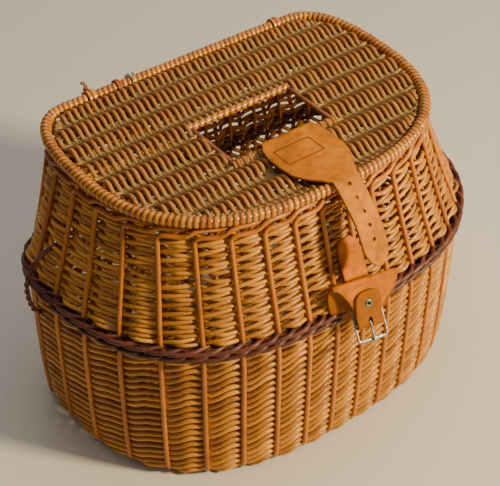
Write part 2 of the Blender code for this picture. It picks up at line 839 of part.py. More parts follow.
def strip(name, stations, made_of):
    """A leather strip; a station is its middle, up and sideways vectors and half sizes."""
    rings = []
    for middle, up, sideways, half_width, half_thickness in stations:
        side = sideways * half_width
        rise = up * half_thickness
        rings.append([middle - side - rise, middle + side - rise, middle + side + rise,
                      middle - side + rise])
    bm = bmesh.new()
    loft(bm, rings)
    return finish(name, bm, made_of, 50.0)


def path_stations(points, half_widths, half_thicknesses, sideways):
    """Stations along a path, square to it and to the sideways vector."""
    stations = []
    last = len(points) - 1
    for index, point in enumerate(points):
        ahead = points[min(index + 1, last)] - points[max(index - 1, 0)]
        up = ahead.cross(sideways).normalized()
        stations.append((point, up, sideways, half_widths[index], half_thicknesses[index]))
    return stations


def plate_z():
    """Middle of the leather where it lies on the lid."""
    return LID_Z + LID_PLEAT + LID_WEAVE_THICKNESS / 2 + GAP + LEATHER / 2


def tongue_pivot():
    """The line where the strap bends over the front of the rim."""
    return Vector((STRAP_X, LID_FRONT_Y - RIM_RADIUS * TONGUE_BEND_SHARE, plate_z()))


def tongue_length():
    """The tongue hangs from the rim nearly down to the buckle's fold."""
    return (plate_z() - fold_z()) * TONGUE_LENGTH_SHARE


def strap_plate():
    """The broad end of the lid strap, folded round the fish hole's front rod."""
    reach = plate_z() - LID_Z
    front_y = hole_front_y()
    path = [Vector((STRAP_X, front_y - PLATE_UNDERLAP, LID_Z - reach))]
    widths = [STRAP_HALF_WIDTH]
    path.append(Vector((STRAP_X, front_y - PLATE_UNDERLAP / 2, LID_Z - reach)))
    widths.append((STRAP_HALF_WIDTH + PLATE_HALF_WIDTH) / 2)
    fold_steps = 8
    for step in range(fold_steps + 1):
        turn = (step / fold_steps - 1 / 2) * math.pi
        y = front_y + reach * math.cos(turn)
        path.append(Vector((STRAP_X, y, LID_Z + reach * math.sin(turn))))
        widths.append(PLATE_HALF_WIDTH)
    run = front_y - tongue_pivot().y - LEATHER / 2 - BEND_CLEARANCE
    for run_share, width_share in PLATE_WIDTH_SHARES:
        x = STRAP_X - PLATE_SWAY * max(0, width_share)
        path.append(Vector((x, front_y - run * run_share, plate_z())))
        if width_share >= 0:
            growth = PLATE_BULGE_HALF_WIDTH - PLATE_HALF_WIDTH
        else:
            growth = PLATE_HALF_WIDTH - STRAP_HALF_WIDTH
        widths.append(PLATE_HALF_WIDTH + growth * width_share)
    halves = [LEATHER / 2] * len(path)
    stations = path_stations(path, widths, halves, Vector((1, 0, 0)))
    return strip("strap_plate", stations, grain_leather())


def sloping_path(start, length, first_deg, last_deg, steps):
    """Points along a strip that starts at one slope below level and ends at another."""
    points = [start.copy()]
    for step in range(steps):
        slope = math.radians(first_deg + (last_deg - first_deg) * (step + 1 / 2) / steps)
        ahead = Vector((0, -math.cos(slope), -math.sin(slope)))
        points.append(points[-1] + ahead * length / steps)
    return points


def rounded_root(path, half_width, half_thickness):
    """Points, half widths and half thicknesses that round off a strip's bending end."""
    ahead = (path[1] - path[0]).normalized()
    points = [path[0] + ahead * half_thickness * along for along, share in ROOT_SHARES]
    return points, [half_width] * len(points), [half_thickness * share for along, share in ROOT_SHARES]


def strap_tongue():
    """The narrow end of the strap with its punched holes; it bends at the rim."""
    length = tongue_length()
    path = sloping_path(tongue_pivot(), length, TONGUE_START_DEG, TONGUE_END_DEG, 6)
    points, widths, halves = rounded_root(path, STRAP_HALF_WIDTH, LEATHER / 2)
    points += path[1:-1]
    tip_ahead = (path[-1] - path[-2]).normalized()
    widths += [STRAP_HALF_WIDTH] * len(path[1:-1])
    for share, width_share in TIP_SHARES:
        points.append(path[-1] - tip_ahead * STRAP_HALF_WIDTH * share)
        widths.append(STRAP_HALF_WIDTH * width_share)
    halves += [LEATHER / 2] * (len(points) - len(halves))
    stations = path_stations(points, widths, halves, Vector((1, 0, 0)))
    tongue = strip("strap_tongue", stations, grain_leather())
    for hole in range(TONGUE_HOLES):
        place, ahead = point_along(path, length * (FIRST_HOLE_SHARE + hole * HOLE_PITCH_SHARE))
        normal = ahead.cross(Vector((1, 0, 0))).normalized()
        cut(tongue, cylinder_cutter(f"tongue_hole_{hole}", place, normal, TONGUE_HOLE_RADIUS,
                                    LEATHER / 2 + OVERRUN))
    return set_pivot(tongue, tongue_pivot())


def point_along(path, distance):
    """The point at a distance along a path, and the direction there."""
    for here, there in zip(path, path[1:]):
        length = (there - here).length
        if distance <= length:
            return here.lerp(there, distance / length), (there - here).normalized()
        distance -= length
    return path[-1], (path[-1] - path[-2]).normalized()


def set_pivot(piece, pivot):
    """Moves an object's origin onto its joint's axis without moving its shape."""
    piece.data.transform(Matrix.Translation(-pivot))
    piece.location = pivot
    return piece


def front_line_y(z):
    """Where the line of the stakes crosses the middle of the front."""
    return body_plan(z)[0][1]


def rise_z(share):
    """A height given as a share of the way from the band up to the lid."""
    return BAND_Z + (LID_Z - BAND_Z) * share


def fold_z():
    return rise_z(FOLD_HEIGHT_SHARE)


def band_front_y():
    return front_line_y(BAND_Z) - WALE_REACH - WALE_RADIUS


def tab_y():
    """Middle of the leather that rises from the band to the fold."""
    return band_front_y() - SEAT_GAP - BUCKLE_LEATHER / 2


def fold_pivot():
    """The line where the buckle's flap bends over, before any turn."""
    back = FOLD_BEND_RADIUS + BUCKLE_LEATHER / 2 + BEND_CLEARANCE
    return Vector((BUCKLE_X, tab_y() - back, fold_z()))


def buckle_turn(share=1.0):
    """The buckle's leather is turned a little about its upright middle line."""
    centre = Vector((BUCKLE_X, tab_y(), 0))
    turn = Matrix.Rotation(math.radians(BUCKLE_TURN_DEG) * share, 4, "Z")
    return Matrix.Translation(centre) @ turn @ Matrix.Translation(-centre)


def turned(piece):
    piece.data.transform(buckle_turn())
    return piece


def twisted(piece):
    """Turns a piece's upper end only, its foot staying flat against the band."""
    foot = BAND_Z + BAND_HALF_HEIGHT
    for vertex in piece.data.vertices:
        share = (vertex.co.z - foot) / (fold_z() - FOLD_BEND_RADIUS - foot)
        vertex.co = buckle_turn(min(1, max(0, share))) @ vertex.co
    return piece


def ridge_front_y(z):
    """Where the ridges of the upper wall, straight between its levels, come to at the front."""
    levels = upper_levels()
    ridges = [front_line_y(level) - pleat_depth(level) for level in levels]
    for index in range(1, len(levels)):
        if z <= levels[index] or index == len(levels) - 1:
            share = (z - levels[index - 1]) / (levels[index] - levels[index - 1])
            return ridges[index - 1] + (ridges[index] - ridges[index - 1]) * share


def anchor_strap():
    """A strap on the outside of the wall, its top end tucked in between the rods."""
    path = []
    clear = WEAVE_THICKNESS / 2 + SEAT_GAP + BUCKLE_LEATHER / 2
    drops = 4
    for step in range(drops + 1):
        z = rise_z(ANCHOR_TOP_SHARE + (ANCHOR_LOW_SHARE - ANCHOR_TOP_SHARE) * step / drops)
        path.append(Vector((BUCKLE_X, ridge_front_y(z) - clear, z)))
    widths = [ANCHOR_HALF_WIDTH] * len(path)
    halves = [BUCKLE_LEATHER / 2] * len(path)
    return strip("anchor_strap", path_stations(path, widths, halves, Vector((1, 0, 0))),
                 grain_leather())


def buckle_tab():
    """The leather that rises from the band and curls forward to the fold."""
    pivot = fold_pivot()
    centre = Vector((BUCKLE_X, tab_y() - FOLD_BEND_RADIUS, fold_z() - FOLD_BEND_RADIUS))
    band_top = BAND_Z + BAND_HALF_HEIGHT
    path = []
    widths = []
    for z in (BAND_Z - TAB_FOOT_DROP, band_top, (band_top + fold_z()) / 2):
        path.append(Vector((BUCKLE_X, tab_y(), z)))
        widths.append(TAB_HALF_WIDTH if widths else TAB_FOOT_HALF_WIDTH)
    steps = 3
    for step in range(steps + 1):
        turn = step / steps * math.pi / 2
        path.append(centre + Vector((0, math.cos(turn), math.sin(turn))) * FOLD_BEND_RADIUS)
        widths.append(TAB_HALF_WIDTH)
    path.append(pivot + Vector((0, BUCKLE_LEATHER / 2 + BEND_CLEARANCE - GAP / 3, 0)))
    widths.append(TAB_HALF_WIDTH)
    halves = [BUCKLE_LEATHER / 2] * len(path)
    return twisted(strip("buckle_tab", path_stations(path, widths, halves, Vector((1, 0, 0))),
                         grain_leather()))


def flap_frame():
    """Down along the hanging flap, and out from its face."""
    slope = math.radians(FLAP_DROP_DEG)
    down = Vector((0, -math.cos(slope), -math.sin(slope)))
    away = Vector((0, -math.sin(slope), math.cos(slope)))
    return down, away


def bar_reach():
    """From the middle of the centre bar to the middle of the leather folded round it."""
    return CENTRE_BAR_RADIUS + GAP + BUCKLE_LEATHER / 2


def bar_centre():
    """The middle of the buckle's centre bar, before any turn."""
    down, away = flap_frame()
    return fold_pivot() + down * FLAP_LENGTH + away * bar_reach()


def buckle_flap():
    """The flap: down behind the centre bar, round under it and up in front."""
    down, away = flap_frame()
    pivot = fold_pivot()
    bar = bar_centre()
    reach = bar_reach()
    straight = [pivot + down * FLAP_LENGTH * along for along, share in FLAP_NECK_SHARES]
    points, widths, halves = rounded_root(straight, TAB_HALF_WIDTH, BUCKLE_LEATHER / 2)
    for place, (along, share) in zip(straight[1:], FLAP_NECK_SHARES[1:]):
        points.append(place)
        widths.append(FLAP_HALF_WIDTH + (TAB_HALF_WIDTH - FLAP_HALF_WIDTH) * share)
    steps = 6
    for step in range(steps + 1):
        turn = step / steps * math.pi
        points.append(bar - away * reach * math.cos(turn) + down * reach * math.sin(turn))
        widths.append(FLAP_HALF_WIDTH)
    closed = bar + away * (BUCKLE_LEATHER + GAP - reach)
    points.append(closed - down * FRONT_TAB_CLOSE)
    widths.append(FLAP_HALF_WIDTH)
    for share, width_share in TIP_SHARES:
        points.append(closed - down * (FRONT_TAB_LENGTH - FLAP_HALF_WIDTH * share))
        widths.append(FLAP_HALF_WIDTH * width_share)
    halves += [BUCKLE_LEATHER / 2] * (len(points) - len(halves))
    flap = strip("buckle_flap", path_stations(points, widths, halves, Vector((1, 0, 0))),
                 flesh_leather())
    slot = Matrix.Translation(bar) @ flap_matrix()
    low = Vector((-PRONG_SLOT_HALF_WIDTH, -reach - OVERRUN, -PRONG_SLOT_UP))
    high = Vector((PRONG_SLOT_HALF_WIDTH, reach + OVERRUN, reach + OVERRUN))
    cut(flap, box_mesh("prong_slot", low, high, slot))
    cut(flap, cylinder_cutter("rivet_hole", rivet_centre(), away, RIVET_RADIUS + SEAT_GAP,
                              BUCKLE_LEATHER + OVERRUN))
    for modifier in flap.modifiers:
        turned(modifier.object)
    return set_pivot(turned(flap), buckle_turn() @ pivot)


def flap_matrix():
    """Turns X, Y and Z into across the flap, out from it and down along it."""
    down, away = flap_frame()
    across = Vector((-1, 0, 0))
    return Matrix((across, away, down)).transposed().to_4x4()


def rivet_centre():
    """Between the two layers of leather, above the centre bar."""
    down, away = flap_frame()
    middle = (BUCKLE_LEATHER + GAP) / 2
    return fold_pivot() + down * (FLAP_LENGTH - RIVET_UP) + away * middle


def buckle_rivet():
    """A tubular rivet through both layers of the flap."""
    down, away = flap_frame()
    grip = BUCKLE_LEATHER + GAP
    profile = (
        (RIVET_BORE, grip + RIVET_FLANGE_THICKNESS),
        (RIVET_FLANGE, grip + RIVET_FLANGE_THICKNESS),
        (RIVET_FLANGE, grip),
        (RIVET_RADIUS, grip),
        (RIVET_RADIUS, -grip),
        (RIVET_FLANGE, -grip),
        (RIVET_FLANGE, -grip - RIVET_FLANGE_THICKNESS),
        (RIVET_BORE, -grip - RIVET_FLANGE_THICKNESS),
    )
    sides = 10
    rings = []
    across = Vector((1, 0, 0))
    for radius, height in profile:
        ring = []
        for corner in range(sides):
            turn = corner / sides * math.tau
            arm = across * math.cos(turn) + down * math.sin(turn)
            ring.append(rivet_centre() + arm * radius + away * height)
        rings.append(ring)
    bm = bmesh.new()
    loft(bm, rings, closed=True)
    return turned(finish("buckle_rivet", bm, steel()))


def frame_matrix():
    """Across, out from and down along the buckle's frame, placed on its centre bar."""
    slope = math.radians(FLAP_DROP_DEG - FRAME_TILT_DEG)
    down = Vector((0, -math.cos(slope), -math.sin(slope)))
    away = Vector((0, -math.sin(slope), math.cos(slope)))
    across = Vector((-1, 0, 0))
    return Matrix.Translation(bar_centre()) @ Matrix((across, away, down)).transposed().to_4x4()


def buckle_frame():
    """A rectangular frame and its centre bar in one piece."""
    wide = FRAME_HALF_WIDTH
    tall = FRAME_HALF_LENGTH
    thick = FRAME_THICKNESS / 2
    bevel = FRAME_SIDE_BAR / 2
    outer = ((-wide + bevel, -tall), (wide - bevel, -tall), (wide, -tall + bevel), (wide, tall - bevel),
             (wide - bevel, tall), (-wide + bevel, tall), (-wide, tall - bevel), (-wide, -tall + bevel))
    bm = bmesh.new()
    loft(bm, [[Vector((x, y, z)) for x, z in outer] for y in (-thick, thick)])
    bmesh.ops.transform(bm, matrix=frame_matrix(), verts=bm.verts)
    frame = finish("buckle_frame", bm, steel())
    low = Vector((FRAME_SIDE_BAR - wide, -thick - OVERRUN, FRAME_END_BAR - tall))
    window = box_mesh("frame_window", low, -low, frame_matrix())
    cut(frame, window)
    bm = bmesh.new()
    ends = [bar_centre() + Vector((side * (wide - FRAME_SIDE_BAR / 2), 0, 0)) for side in (-1, 1)]
    loft(bm, tube_rings(ends, CENTRE_BAR_RADIUS, 8, Vector((0, 0, 1))))
    bar = as_cutter(finish("centre_bar", bm, None, 60.0))
    cut(frame, bar, "UNION")
    for modifier in frame.modifiers:
        turned(modifier.object)
    return set_pivot(turned(frame), buckle_turn() @ bar_centre())


def buckle_prong():
    """The prong: a hub round the centre bar and a pin that rests on the frame's lower bar."""
    hub = CENTRE_BAR_RADIUS + PIN_CLEARANCE
    rim = hub + PRONG_HUB_WALL
    rest = FRAME_THICKNESS / 2 + GAP
    reach = FRAME_HALF_LENGTH + PRONG_OVERHANG
    half = PRONG_HALF_WIDTH
    sides = 12
    bm = bmesh.new()
    rings = []
    for x, radius in ((-half, hub), (-half, rim), (half, rim), (half, hub)):
        ring = []
        for corner in range(sides):
            turn = corner / sides * math.tau
            ring.append(Vector((x, radius * math.cos(turn), radius * math.sin(turn))))
        rings.append(ring)
    loft(bm, rings, closed=True)
    bmesh.ops.transform(bm, matrix=frame_matrix(), verts=bm.verts)
    prong = finish("buckle_prong", bm, steel())
    middle = hub + PRONG_THICKNESS / 2
    low_end = rest + PRONG_THICKNESS / 2
    bm = bmesh.new()
    path = (Vector((0, middle, 0)), Vector((0, middle, rim)), Vector((0, low_end, reach)))
    rings = []
    for place in path:
        rings.append([
            place + Vector((-half, -PRONG_THICKNESS / 2, 0)),
            place + Vector((half, -PRONG_THICKNESS / 2, 0)),
            place + Vector((half, PRONG_THICKNESS / 2, 0)),
            place + Vector((-half, PRONG_THICKNESS / 2, 0)),
        ])
    loft(bm, rings)
    bmesh.ops.transform(bm, matrix=frame_matrix(), verts=bm.verts)
    pin = as_cutter(finish("prong_pin", bm, None))
    cut(prong, pin, "UNION")
    turned(pin)
    return set_pivot(turned(prong), buckle_turn() @ bar_centre())


def main():
    remove_everything()
    base()
    wall("wall_lower", lower_levels())
    notch_wall(wall("wall_upper", upper_levels()))
    stakes()
    border()
    for number in range(WALE_RODS):
        wale_rod(number)
    harness_loop("harness_loop_left", -1)
    harness_loop("harness_loop_right", 1)
    lid_rim()
    lid_weave()
    lid_sticks()
    hole_posts()
    hinge_loops()
    wire_loop()
    strap_plate()
    strap_tongue()
    anchor_strap()
    buckle_tab()
    buckle_flap()
    buckle_rivet()
    buckle_frame()
    buckle_prong()


main()
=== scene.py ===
import bpy
import math
import random
import numpy as np
from mathutils import Matrix, Vector


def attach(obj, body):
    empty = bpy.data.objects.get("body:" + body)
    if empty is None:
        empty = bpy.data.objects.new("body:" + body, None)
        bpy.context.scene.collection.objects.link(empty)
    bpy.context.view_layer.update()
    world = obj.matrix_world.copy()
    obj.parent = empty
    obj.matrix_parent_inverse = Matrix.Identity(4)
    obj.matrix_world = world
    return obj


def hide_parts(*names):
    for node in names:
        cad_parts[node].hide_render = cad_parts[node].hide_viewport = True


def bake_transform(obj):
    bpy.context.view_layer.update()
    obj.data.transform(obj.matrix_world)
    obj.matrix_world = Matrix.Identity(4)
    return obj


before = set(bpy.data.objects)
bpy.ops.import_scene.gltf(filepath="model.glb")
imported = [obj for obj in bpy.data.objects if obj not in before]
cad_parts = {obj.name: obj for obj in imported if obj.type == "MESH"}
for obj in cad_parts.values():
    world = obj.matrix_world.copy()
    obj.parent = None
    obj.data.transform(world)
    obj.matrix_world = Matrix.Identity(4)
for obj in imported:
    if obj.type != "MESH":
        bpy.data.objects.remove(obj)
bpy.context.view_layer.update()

dice = random.Random(7)

plans = {
    # each plan is half width, front, rear, widest place and flat of the rear
    "foot": np.array((0.1890, -0.1405, 0.0935, 0.0280, 0.0900)),
    "belly": np.array((0.1985, -0.1468, 0.0960, 0.0280, 0.0900)),
    "lid": np.array((0.1600, -0.1160, 0.1040, 0.0240, 0.1180)),
    "neckInset": 0.0020,
    "frontPower": 2.6,
    "rearPower": 2.5,
    "samples": 73,
}

levels = {
    "foot": 0.0045,
    "band": 0.1560,
    "bandHalf": 0.0056,
    "lid": 0.2620,
    "ring": 0.2466,
    "border": 0.2531,
    "wallTop": 0.2437,
    "swell": 3.5,
    "neck": 0.82,
}
bandLow = levels["band"] - levels["bandHalf"]
bandHigh = levels["band"] + levels["bandHalf"]

stakeSet = {
    "count": 66,
    "bellySpread": 0.15,
    "neckSpread": 0.08,
    "shift": -0.0050,
}

pleats = {
    # how far the weavers swing to each side of the stakes' line, at seven heights from the foot up
    "swings": (0.0014, 0.0010, 0.0009, 0.0036, 0.0032, 0.0008, 0.0005),
    "overFoot": 0.008,
    "underBand": 0.020,
    "overBand": 0.012,
    # steps up and aside, to find which way the wall faces
    "stepUp": 0.0025,
    "stepAside": 0.15,
}


def planOutline(plan):
    # a D: superellipse quarters for the front, and rounded corners with a flat between them for the rear
    halfWidth, frontY, rearY, midY, rearFlat = plan
    turns = np.linspace(0, math.pi / 2, plans["samples"])
    sine, cosine = np.sin(turns), np.clip(np.cos(turns), 0, 1)
    front, rear = 2 / plans["frontPower"], 2 / plans["rearPower"]
    x = np.concatenate((halfWidth * sine ** front,
                        (rearFlat + (halfWidth - rearFlat) * cosine ** rear)[1:]))
    y = np.concatenate((midY - (midY - frontY) * cosine ** front,
                        (midY + (rearY - midY) * sine ** rear)[1:]))
    x = np.concatenate((x, -x[:0:-1]))
    y = np.concatenate((y, y[:0:-1]))
    return np.stack((x, y), 1)


def alongPlan(plan, shares):
    # points at shares of the way round a plan, from the middle of the front
    outline = planOutline(plan)
    closed = np.vstack((outline, outline[:1]))
    travelled = np.concatenate(([0], np.cumsum(np.linalg.norm(np.diff(closed, axis=0), axis=1))))
    wanted = (np.asarray(shares) % 1) * travelled[-1]
    return np.stack([np.interp(wanted, travelled, closed[:, axis]) for axis in (0, 1)], 1)


def planLength(plan):
    outline = planOutline(plan)
    return np.linalg.norm(np.diff(np.vstack((outline, outline[:1])), axis=0), axis=1).sum()


def insetPlan(plan, inset):
    return plan + np.array((-inset, inset, -inset, 0, -inset))


def halfWidthAt(plan, y):
    outline = planOutline(plan)
    right = outline[outline[:, 0] >= 0]
    order = np.argsort(right[:, 1])
    return float(np.interp(y, right[order, 1], right[order, 0], left=0, right=0))


def depthAt(plan, x):
    # front and rear edge at a place across
    outline = planOutline(plan)
    half = outline[:len(outline) // 2 + 1]
    front = half[half[:, 1] <= plan[3]]
    rear = half[half[:, 1] >= plan[3]][::-1]
    return (float(np.interp(abs(x), front[:, 0], front[:, 1])),
            float(np.interp(abs(x), rear[:, 0], rear[:, 1])))


def bodyPlan(z):
    # the basket's plan at a height, and how much its stakes crowd at the ends
    if z < levels["band"]:
        fall = 1 - max(0, z - levels["foot"]) / (levels["band"] - levels["foot"])
        swell = (1 - fall ** levels["swell"]) ** (1 / levels["swell"])
        return plans["foot"] + (plans["belly"] - plans["foot"]) * swell, stakeSet["bellySpread"]
    climb = min(1, max(0, z - bandHigh) / (levels["border"] - bandHigh)) ** levels["neck"]
    spread = stakeSet["bellySpread"] + (stakeSet["neckSpread"] - stakeSet["bellySpread"]) * climb
    neck = insetPlan(plans["lid"], plans["neckInset"])
    return plans["belly"] + (neck - plans["belly"]) * climb, spread


def shareOf(stake, plan, spread):
    share = np.asarray(stake, float) / stakeSet["count"]
    crowd = spread * np.sin(4 * math.pi * share) / (4 * math.pi)
    return share - crowd + stakeSet["shift"] / planLength(plan)


def wallPoints(z, stake):
    plan, spread = bodyPlan(z)
    flat = alongPlan(plan, shareOf(stake, plan, spread))
    return np.column_stack((flat, np.full(len(flat), z)))


def wallLine(z, stake):
    # the wall's middle surface at a height: points and outward normals
    step, aside = pleats["stepUp"], pleats["stepAside"]
    up = (wallPoints(z + step, stake) - wallPoints(z - step, stake)) / (2 * step)
    across = wallPoints(z, np.asarray(stake) + aside) - wallPoints(z, np.asarray(stake) - aside)
    normal = np.cross(across, up)
    normal /= np.linalg.norm(normal, axis=1)[:, None]
    return wallPoints(z, stake), normal


def besideWall(z, stake, out):
    # one point, out from the wall's middle surface at a stake
    here, normal = wallLine(z, [stake])
    return here[0] + normal[0] * out


def swingAt(z):
    stops = (levels["foot"], levels["foot"] + pleats["overFoot"], bandLow - pleats["underBand"], bandLow,
             bandHigh, bandHigh + pleats["overBand"], levels["wallTop"])
    return float(np.interp(z, stops, pleats["swings"]))


def smoothStep(value):
    value = np.clip(value, 0, 1)
    return value * value * (3 - 2 * value)


def smoothNoise(count, waves, seed):
    # a slow wander of about one, that closes on itself
    own = random.Random(seed)
    turn = np.linspace(0, 2 * math.pi, count, endpoint=False)
    total = np.zeros(count)
    for wave in waves:
        shift = own.uniform(0, 6.28)
        total += math.sqrt(1 / len(waves)) * np.sin(wave * turn + shift) * own.uniform(0.5, 1.1)
    return total


def smoothPath(path, parts):
    # Catmull-Rom through the points
    path = np.asarray(path, float)
    padded = np.vstack((2 * path[0] - path[1], path, 2 * path[-1] - path[-2]))
    found = []
    for index in range(len(path) - 1):
        a, b, c, d = padded[index:index + 4]
        for step in range(parts):
            t = step / parts
            found.append(0.5 * (2 * b + (c - a) * t + (2 * a - 5 * b + 4 * c - d) * t * t
                                + (3 * b - a - 3 * c + d) * t ** 3))
    found.append(path[-1])
    return np.array(found)


def travel(points):
    return np.concatenate(([0], np.cumsum(np.linalg.norm(np.diff(points, axis=0), axis=1))))


def selectOnly(*pieces):
    bpy.ops.object.select_all(action="DESELECT")
    for piece in pieces:
        piece.select_set(True)
    bpy.context.view_layer.objects.active = pieces[0]


def joined(pieces):
    selectOnly(*pieces)
    if len(pieces) > 1:
        bpy.ops.object.join()
    return bpy.context.object


def finishPiece(made, name, body, slotName, finish, *nodes):
    # last touches that every piece gets: name and material, the nodes it stands for hidden, and a body when
    # one is given; the slot name is not used
    made.name = name
    made.data.name = name
    made.data.materials.clear()
    made.data.materials.append(finish)
    if nodes:
        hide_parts(*nodes)
    if body:
        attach(made, body)
    return made


def tidyMesh(made, fillEnds=False, sharpDegrees=None):
    # doubles merged, ends filled where they are open, normals out and smooth shading
    bpy.ops.object.mode_set(mode="EDIT")
    bpy.ops.mesh.select_mode(type="VERT")
    bpy.ops.mesh.select_all(action="SELECT")
    bpy.ops.mesh.remove_doubles(threshold=0.000001)
    if fillEnds:
        bpy.ops.mesh.select_all(action="DESELECT")
        bpy.ops.mesh.select_non_manifold()
        bpy.ops.mesh.fill_holes(sides=0)
    bpy.ops.mesh.select_all(action="SELECT")
    bpy.ops.mesh.normals_make_consistent(inside=False)
    bpy.ops.object.mode_set(mode="OBJECT")
    if sharpDegrees is None:
        bpy.ops.object.shade_smooth()
    else:
        bpy.ops.object.shade_smooth_by_angle(angle=math.radians(sharpDegrees))
    return made


def putAttribute(made, label, values):
    values = np.asarray(values, np.float32).ravel()
    if len(values) != len(made.data.vertices):
        raise RuntimeError(f"{label}: {len(values)} values for {len(made.data.vertices)} points")
    layer = made.data.attributes.new(label, "FLOAT", "POINT")
    layer.data.foreach_set("value", values)


def rodBundle(lines, sides=8):
    # many round rods as one curve object, made a mesh; each line is (points, radii, closed)
    bpy.ops.object.select_all(action="DESELECT")
    bpy.ops.curve.primitive_nurbs_path_add(location=(0, 0, 0))
    curve = bpy.context.object.data
    curve.splines.clear()
    curve.dimensions = "3D"
    curve.twist_mode = "MINIMUM"
    curve.bevel_depth = 1.0
    curve.bevel_resolution = (sides - 4) // 2
    curve.use_fill_caps = True
    for points, radii, closed in lines:
        spline = curve.splines.new("POLY")
        spline.points.add(len(points) - 1)
        spline.points.foreach_set("co", np.column_stack((points, np.ones(len(points)))).ravel())
        spline.points.foreach_set("radius", np.broadcast_to(radii, len(points)).astype(float))
        spline.use_cyclic_u = closed
        spline.use_smooth = True
    bpy.ops.object.convert(target="MESH")
    bundle = bpy.context.object
    seeds, runs = [], []
    for points, radii, closed in lines:
        travelled = travel(points)
        if not closed:
            # the points of the two end caps come after the rings
            travelled = np.concatenate((travelled, (0, travelled[-1])))
        seeds.append(np.full(len(travelled) * sides, dice.random()))
        runs.append(np.repeat(travelled, sides))
    putAttribute(bundle, "rodSeed", np.concatenate(seeds))
    putAttribute(bundle, "rodRun", np.concatenate(runs))
    return tidyMesh(bundle)


def sweepRings(rings, attributes, closed=False, sharpDegrees=None):
    # a skin through rings of points: a grid whose two sides meet and whose ends are filled or meet too
    rings = np.asarray(rings, float)
    if closed:
        rings = np.concatenate((rings, rings[:1]))
    points = np.concatenate((rings, rings[:, :1]), axis=1)
    rows, around = points.shape[:2]
    bpy.ops.object.select_all(action="DESELECT")
    bpy.ops.mesh.primitive_grid_add(x_subdivisions=around - 1, y_subdivisions=rows - 1, size=1)
    made = bpy.context.object
    made.data.vertices.foreach_set("co", points.ravel())
    for label, values in attributes.items():
        values = np.asarray(values, float)
        if closed:
            values = np.concatenate((values, values[:1]))
        putAttribute(made, label, np.concatenate((values, values[:, :1]), axis=1))
    return tidyMesh(made, not closed, sharpDegrees)


leather = {
    "edgeTurns": (-60, -30, 0, 30, 60),
    "leastWidth": 2.4,
    "wornEdge": 0.0012,
    "sharpDegrees": 50,
}


def stripSection(left, right, halfThick, flats=8):
    # a flat strip's section with round edges, as places across and through, starting under its left edge
    across = np.linspace(left + halfThick, right - halfThick, flats + 1)
    turns = np.radians(leather["edgeTurns"])
    rightEdge = [(right - halfThick + halfThick * math.cos(turn), halfThick * math.sin(turn))
                 for turn in turns]
    leftEdge = [(left + halfThick - halfThick * math.cos(turn), -halfThick * math.sin(turn))
                for turn in turns]
    under = [(place, -halfThick) for place in across]
    over = [(place, halfThick) for place in across[::-1]]
    return np.array(under + rightEdge + over + leftEdge)


def leatherSheet(path, sideways, lefts, rights, thick):
    # a leather strip along a path; it knows how near its edge each point is and which side is the grain
    path = np.asarray(path, float)
    ahead = np.gradient(path, axis=0)
    ahead /= np.linalg.norm(ahead, axis=1)[:, None]
    run = travel(path)
    half = thick / 2
    rings, near, grain, along = [], [], [], []
    for index, point in enumerate(path):
        left, right = lefts[index], rights[index]
        if right - left < leather["leastWidth"] * half:
            middle = (left + right) / 2
            left = middle - leather["leastWidth"] / 2 * half
            right = middle + leather["leastWidth"] / 2 * half
        section = stripSection(left, right, half)
        up = np.cross(ahead[index], sideways)
        up /= np.linalg.norm(up)
        rings.append(point + section[:, :1] * sideways + section[:, 1:] * up)
        toEdge = np.minimum(section[:, 0] - left, right - section[:, 0])
        toEnd = min(run[index], run[-1] - run[index])
        near.append(np.exp(-np.minimum(toEdge, toEnd) / leather["wornEdge"]))
        grain.append(np.clip(0.5 + section[:, 1] / half, 0, 1))
        along.append(np.full(len(section), run[index]))
    attributes = {"edgeNear": near, "grainSide": grain, "rodRun": along}
    return sweepRings(rings, attributes, False, leather["sharpDegrees"])


def punch(made, cutters):
    # cuts pegs out of a piece
    for cutter in cutters:
        selectOnly(made)
        hole = made.modifiers.new("hole", "BOOLEAN")
        hole.operation = "DIFFERENCE"
        hole.solver = "EXACT"
        hole.object = cutter
        bpy.ops.object.modifier_apply(modifier=hole.name)
    selectOnly(*cutters)
    bpy.ops.object.delete()
    selectOnly(made)
    return made


def peg(centre, axis, radius, length, stretch=1.0):
    # a cylinder to cut with, its length along an axis
    bpy.ops.object.select_all(action="DESELECT")
    bpy.ops.mesh.primitive_cylinder_add(vertices=20, radius=radius, depth=length)
    made = bpy.context.object
    made.scale = (1, stretch, 1)
    made.rotation_mode = "QUATERNION"
    made.rotation_quaternion = Vector(axis).to_track_quat("Z", "Y")
    made.location = Vector(centre)
    bpy.ops.object.transform_apply(location=True, rotation=True, scale=True)
    return made


def newGroup(name, inputs, outputs):
    group = bpy.data.node_groups.new(name, "ShaderNodeTree")
    for label, kind, value in inputs:
        socket = group.interface.new_socket(label, in_out="INPUT", socket_type=kind)
        socket.default_value = value
    for label, kind in outputs:
        group.interface.new_socket(label, in_out="OUTPUT", socket_type=kind)
    return group, group.nodes.new("NodeGroupInput").outputs, group.nodes.new("NodeGroupOutput").inputs


def newFinish(name):
    finish = bpy.data.materials.new(name)
    finish.use_nodes = True
    return finish, finish.node_tree, finish.node_tree.nodes["Principled BSDF"]


def putValues(tree, node, values):
    for key, value in values.items():
        if isinstance(value, bpy.types.NodeSocket):
            tree.links.new(value, node.inputs[key])
        else:
            node.inputs[key].default_value = value


def addNode(tree, kind, values=None, **settings):
    node = tree.nodes.new(kind)
    for key, value in settings.items():
        setattr(node, key, value)
    putValues(tree, node, values or {})
    return node


def mathNode(tree, operation, *values):
    return addNode(tree, "ShaderNodeMath", dict(enumerate(values)), operation=operation).outputs[0]


def mixColour(tree, factor, first, second, way="MIX"):
    node = addNode(tree, "ShaderNodeMix", data_type="RGBA", blend_type=way, clamp_factor=True)
    putValues(tree, node, {0: factor, 6: first, 7: second})
    return node.outputs[2]


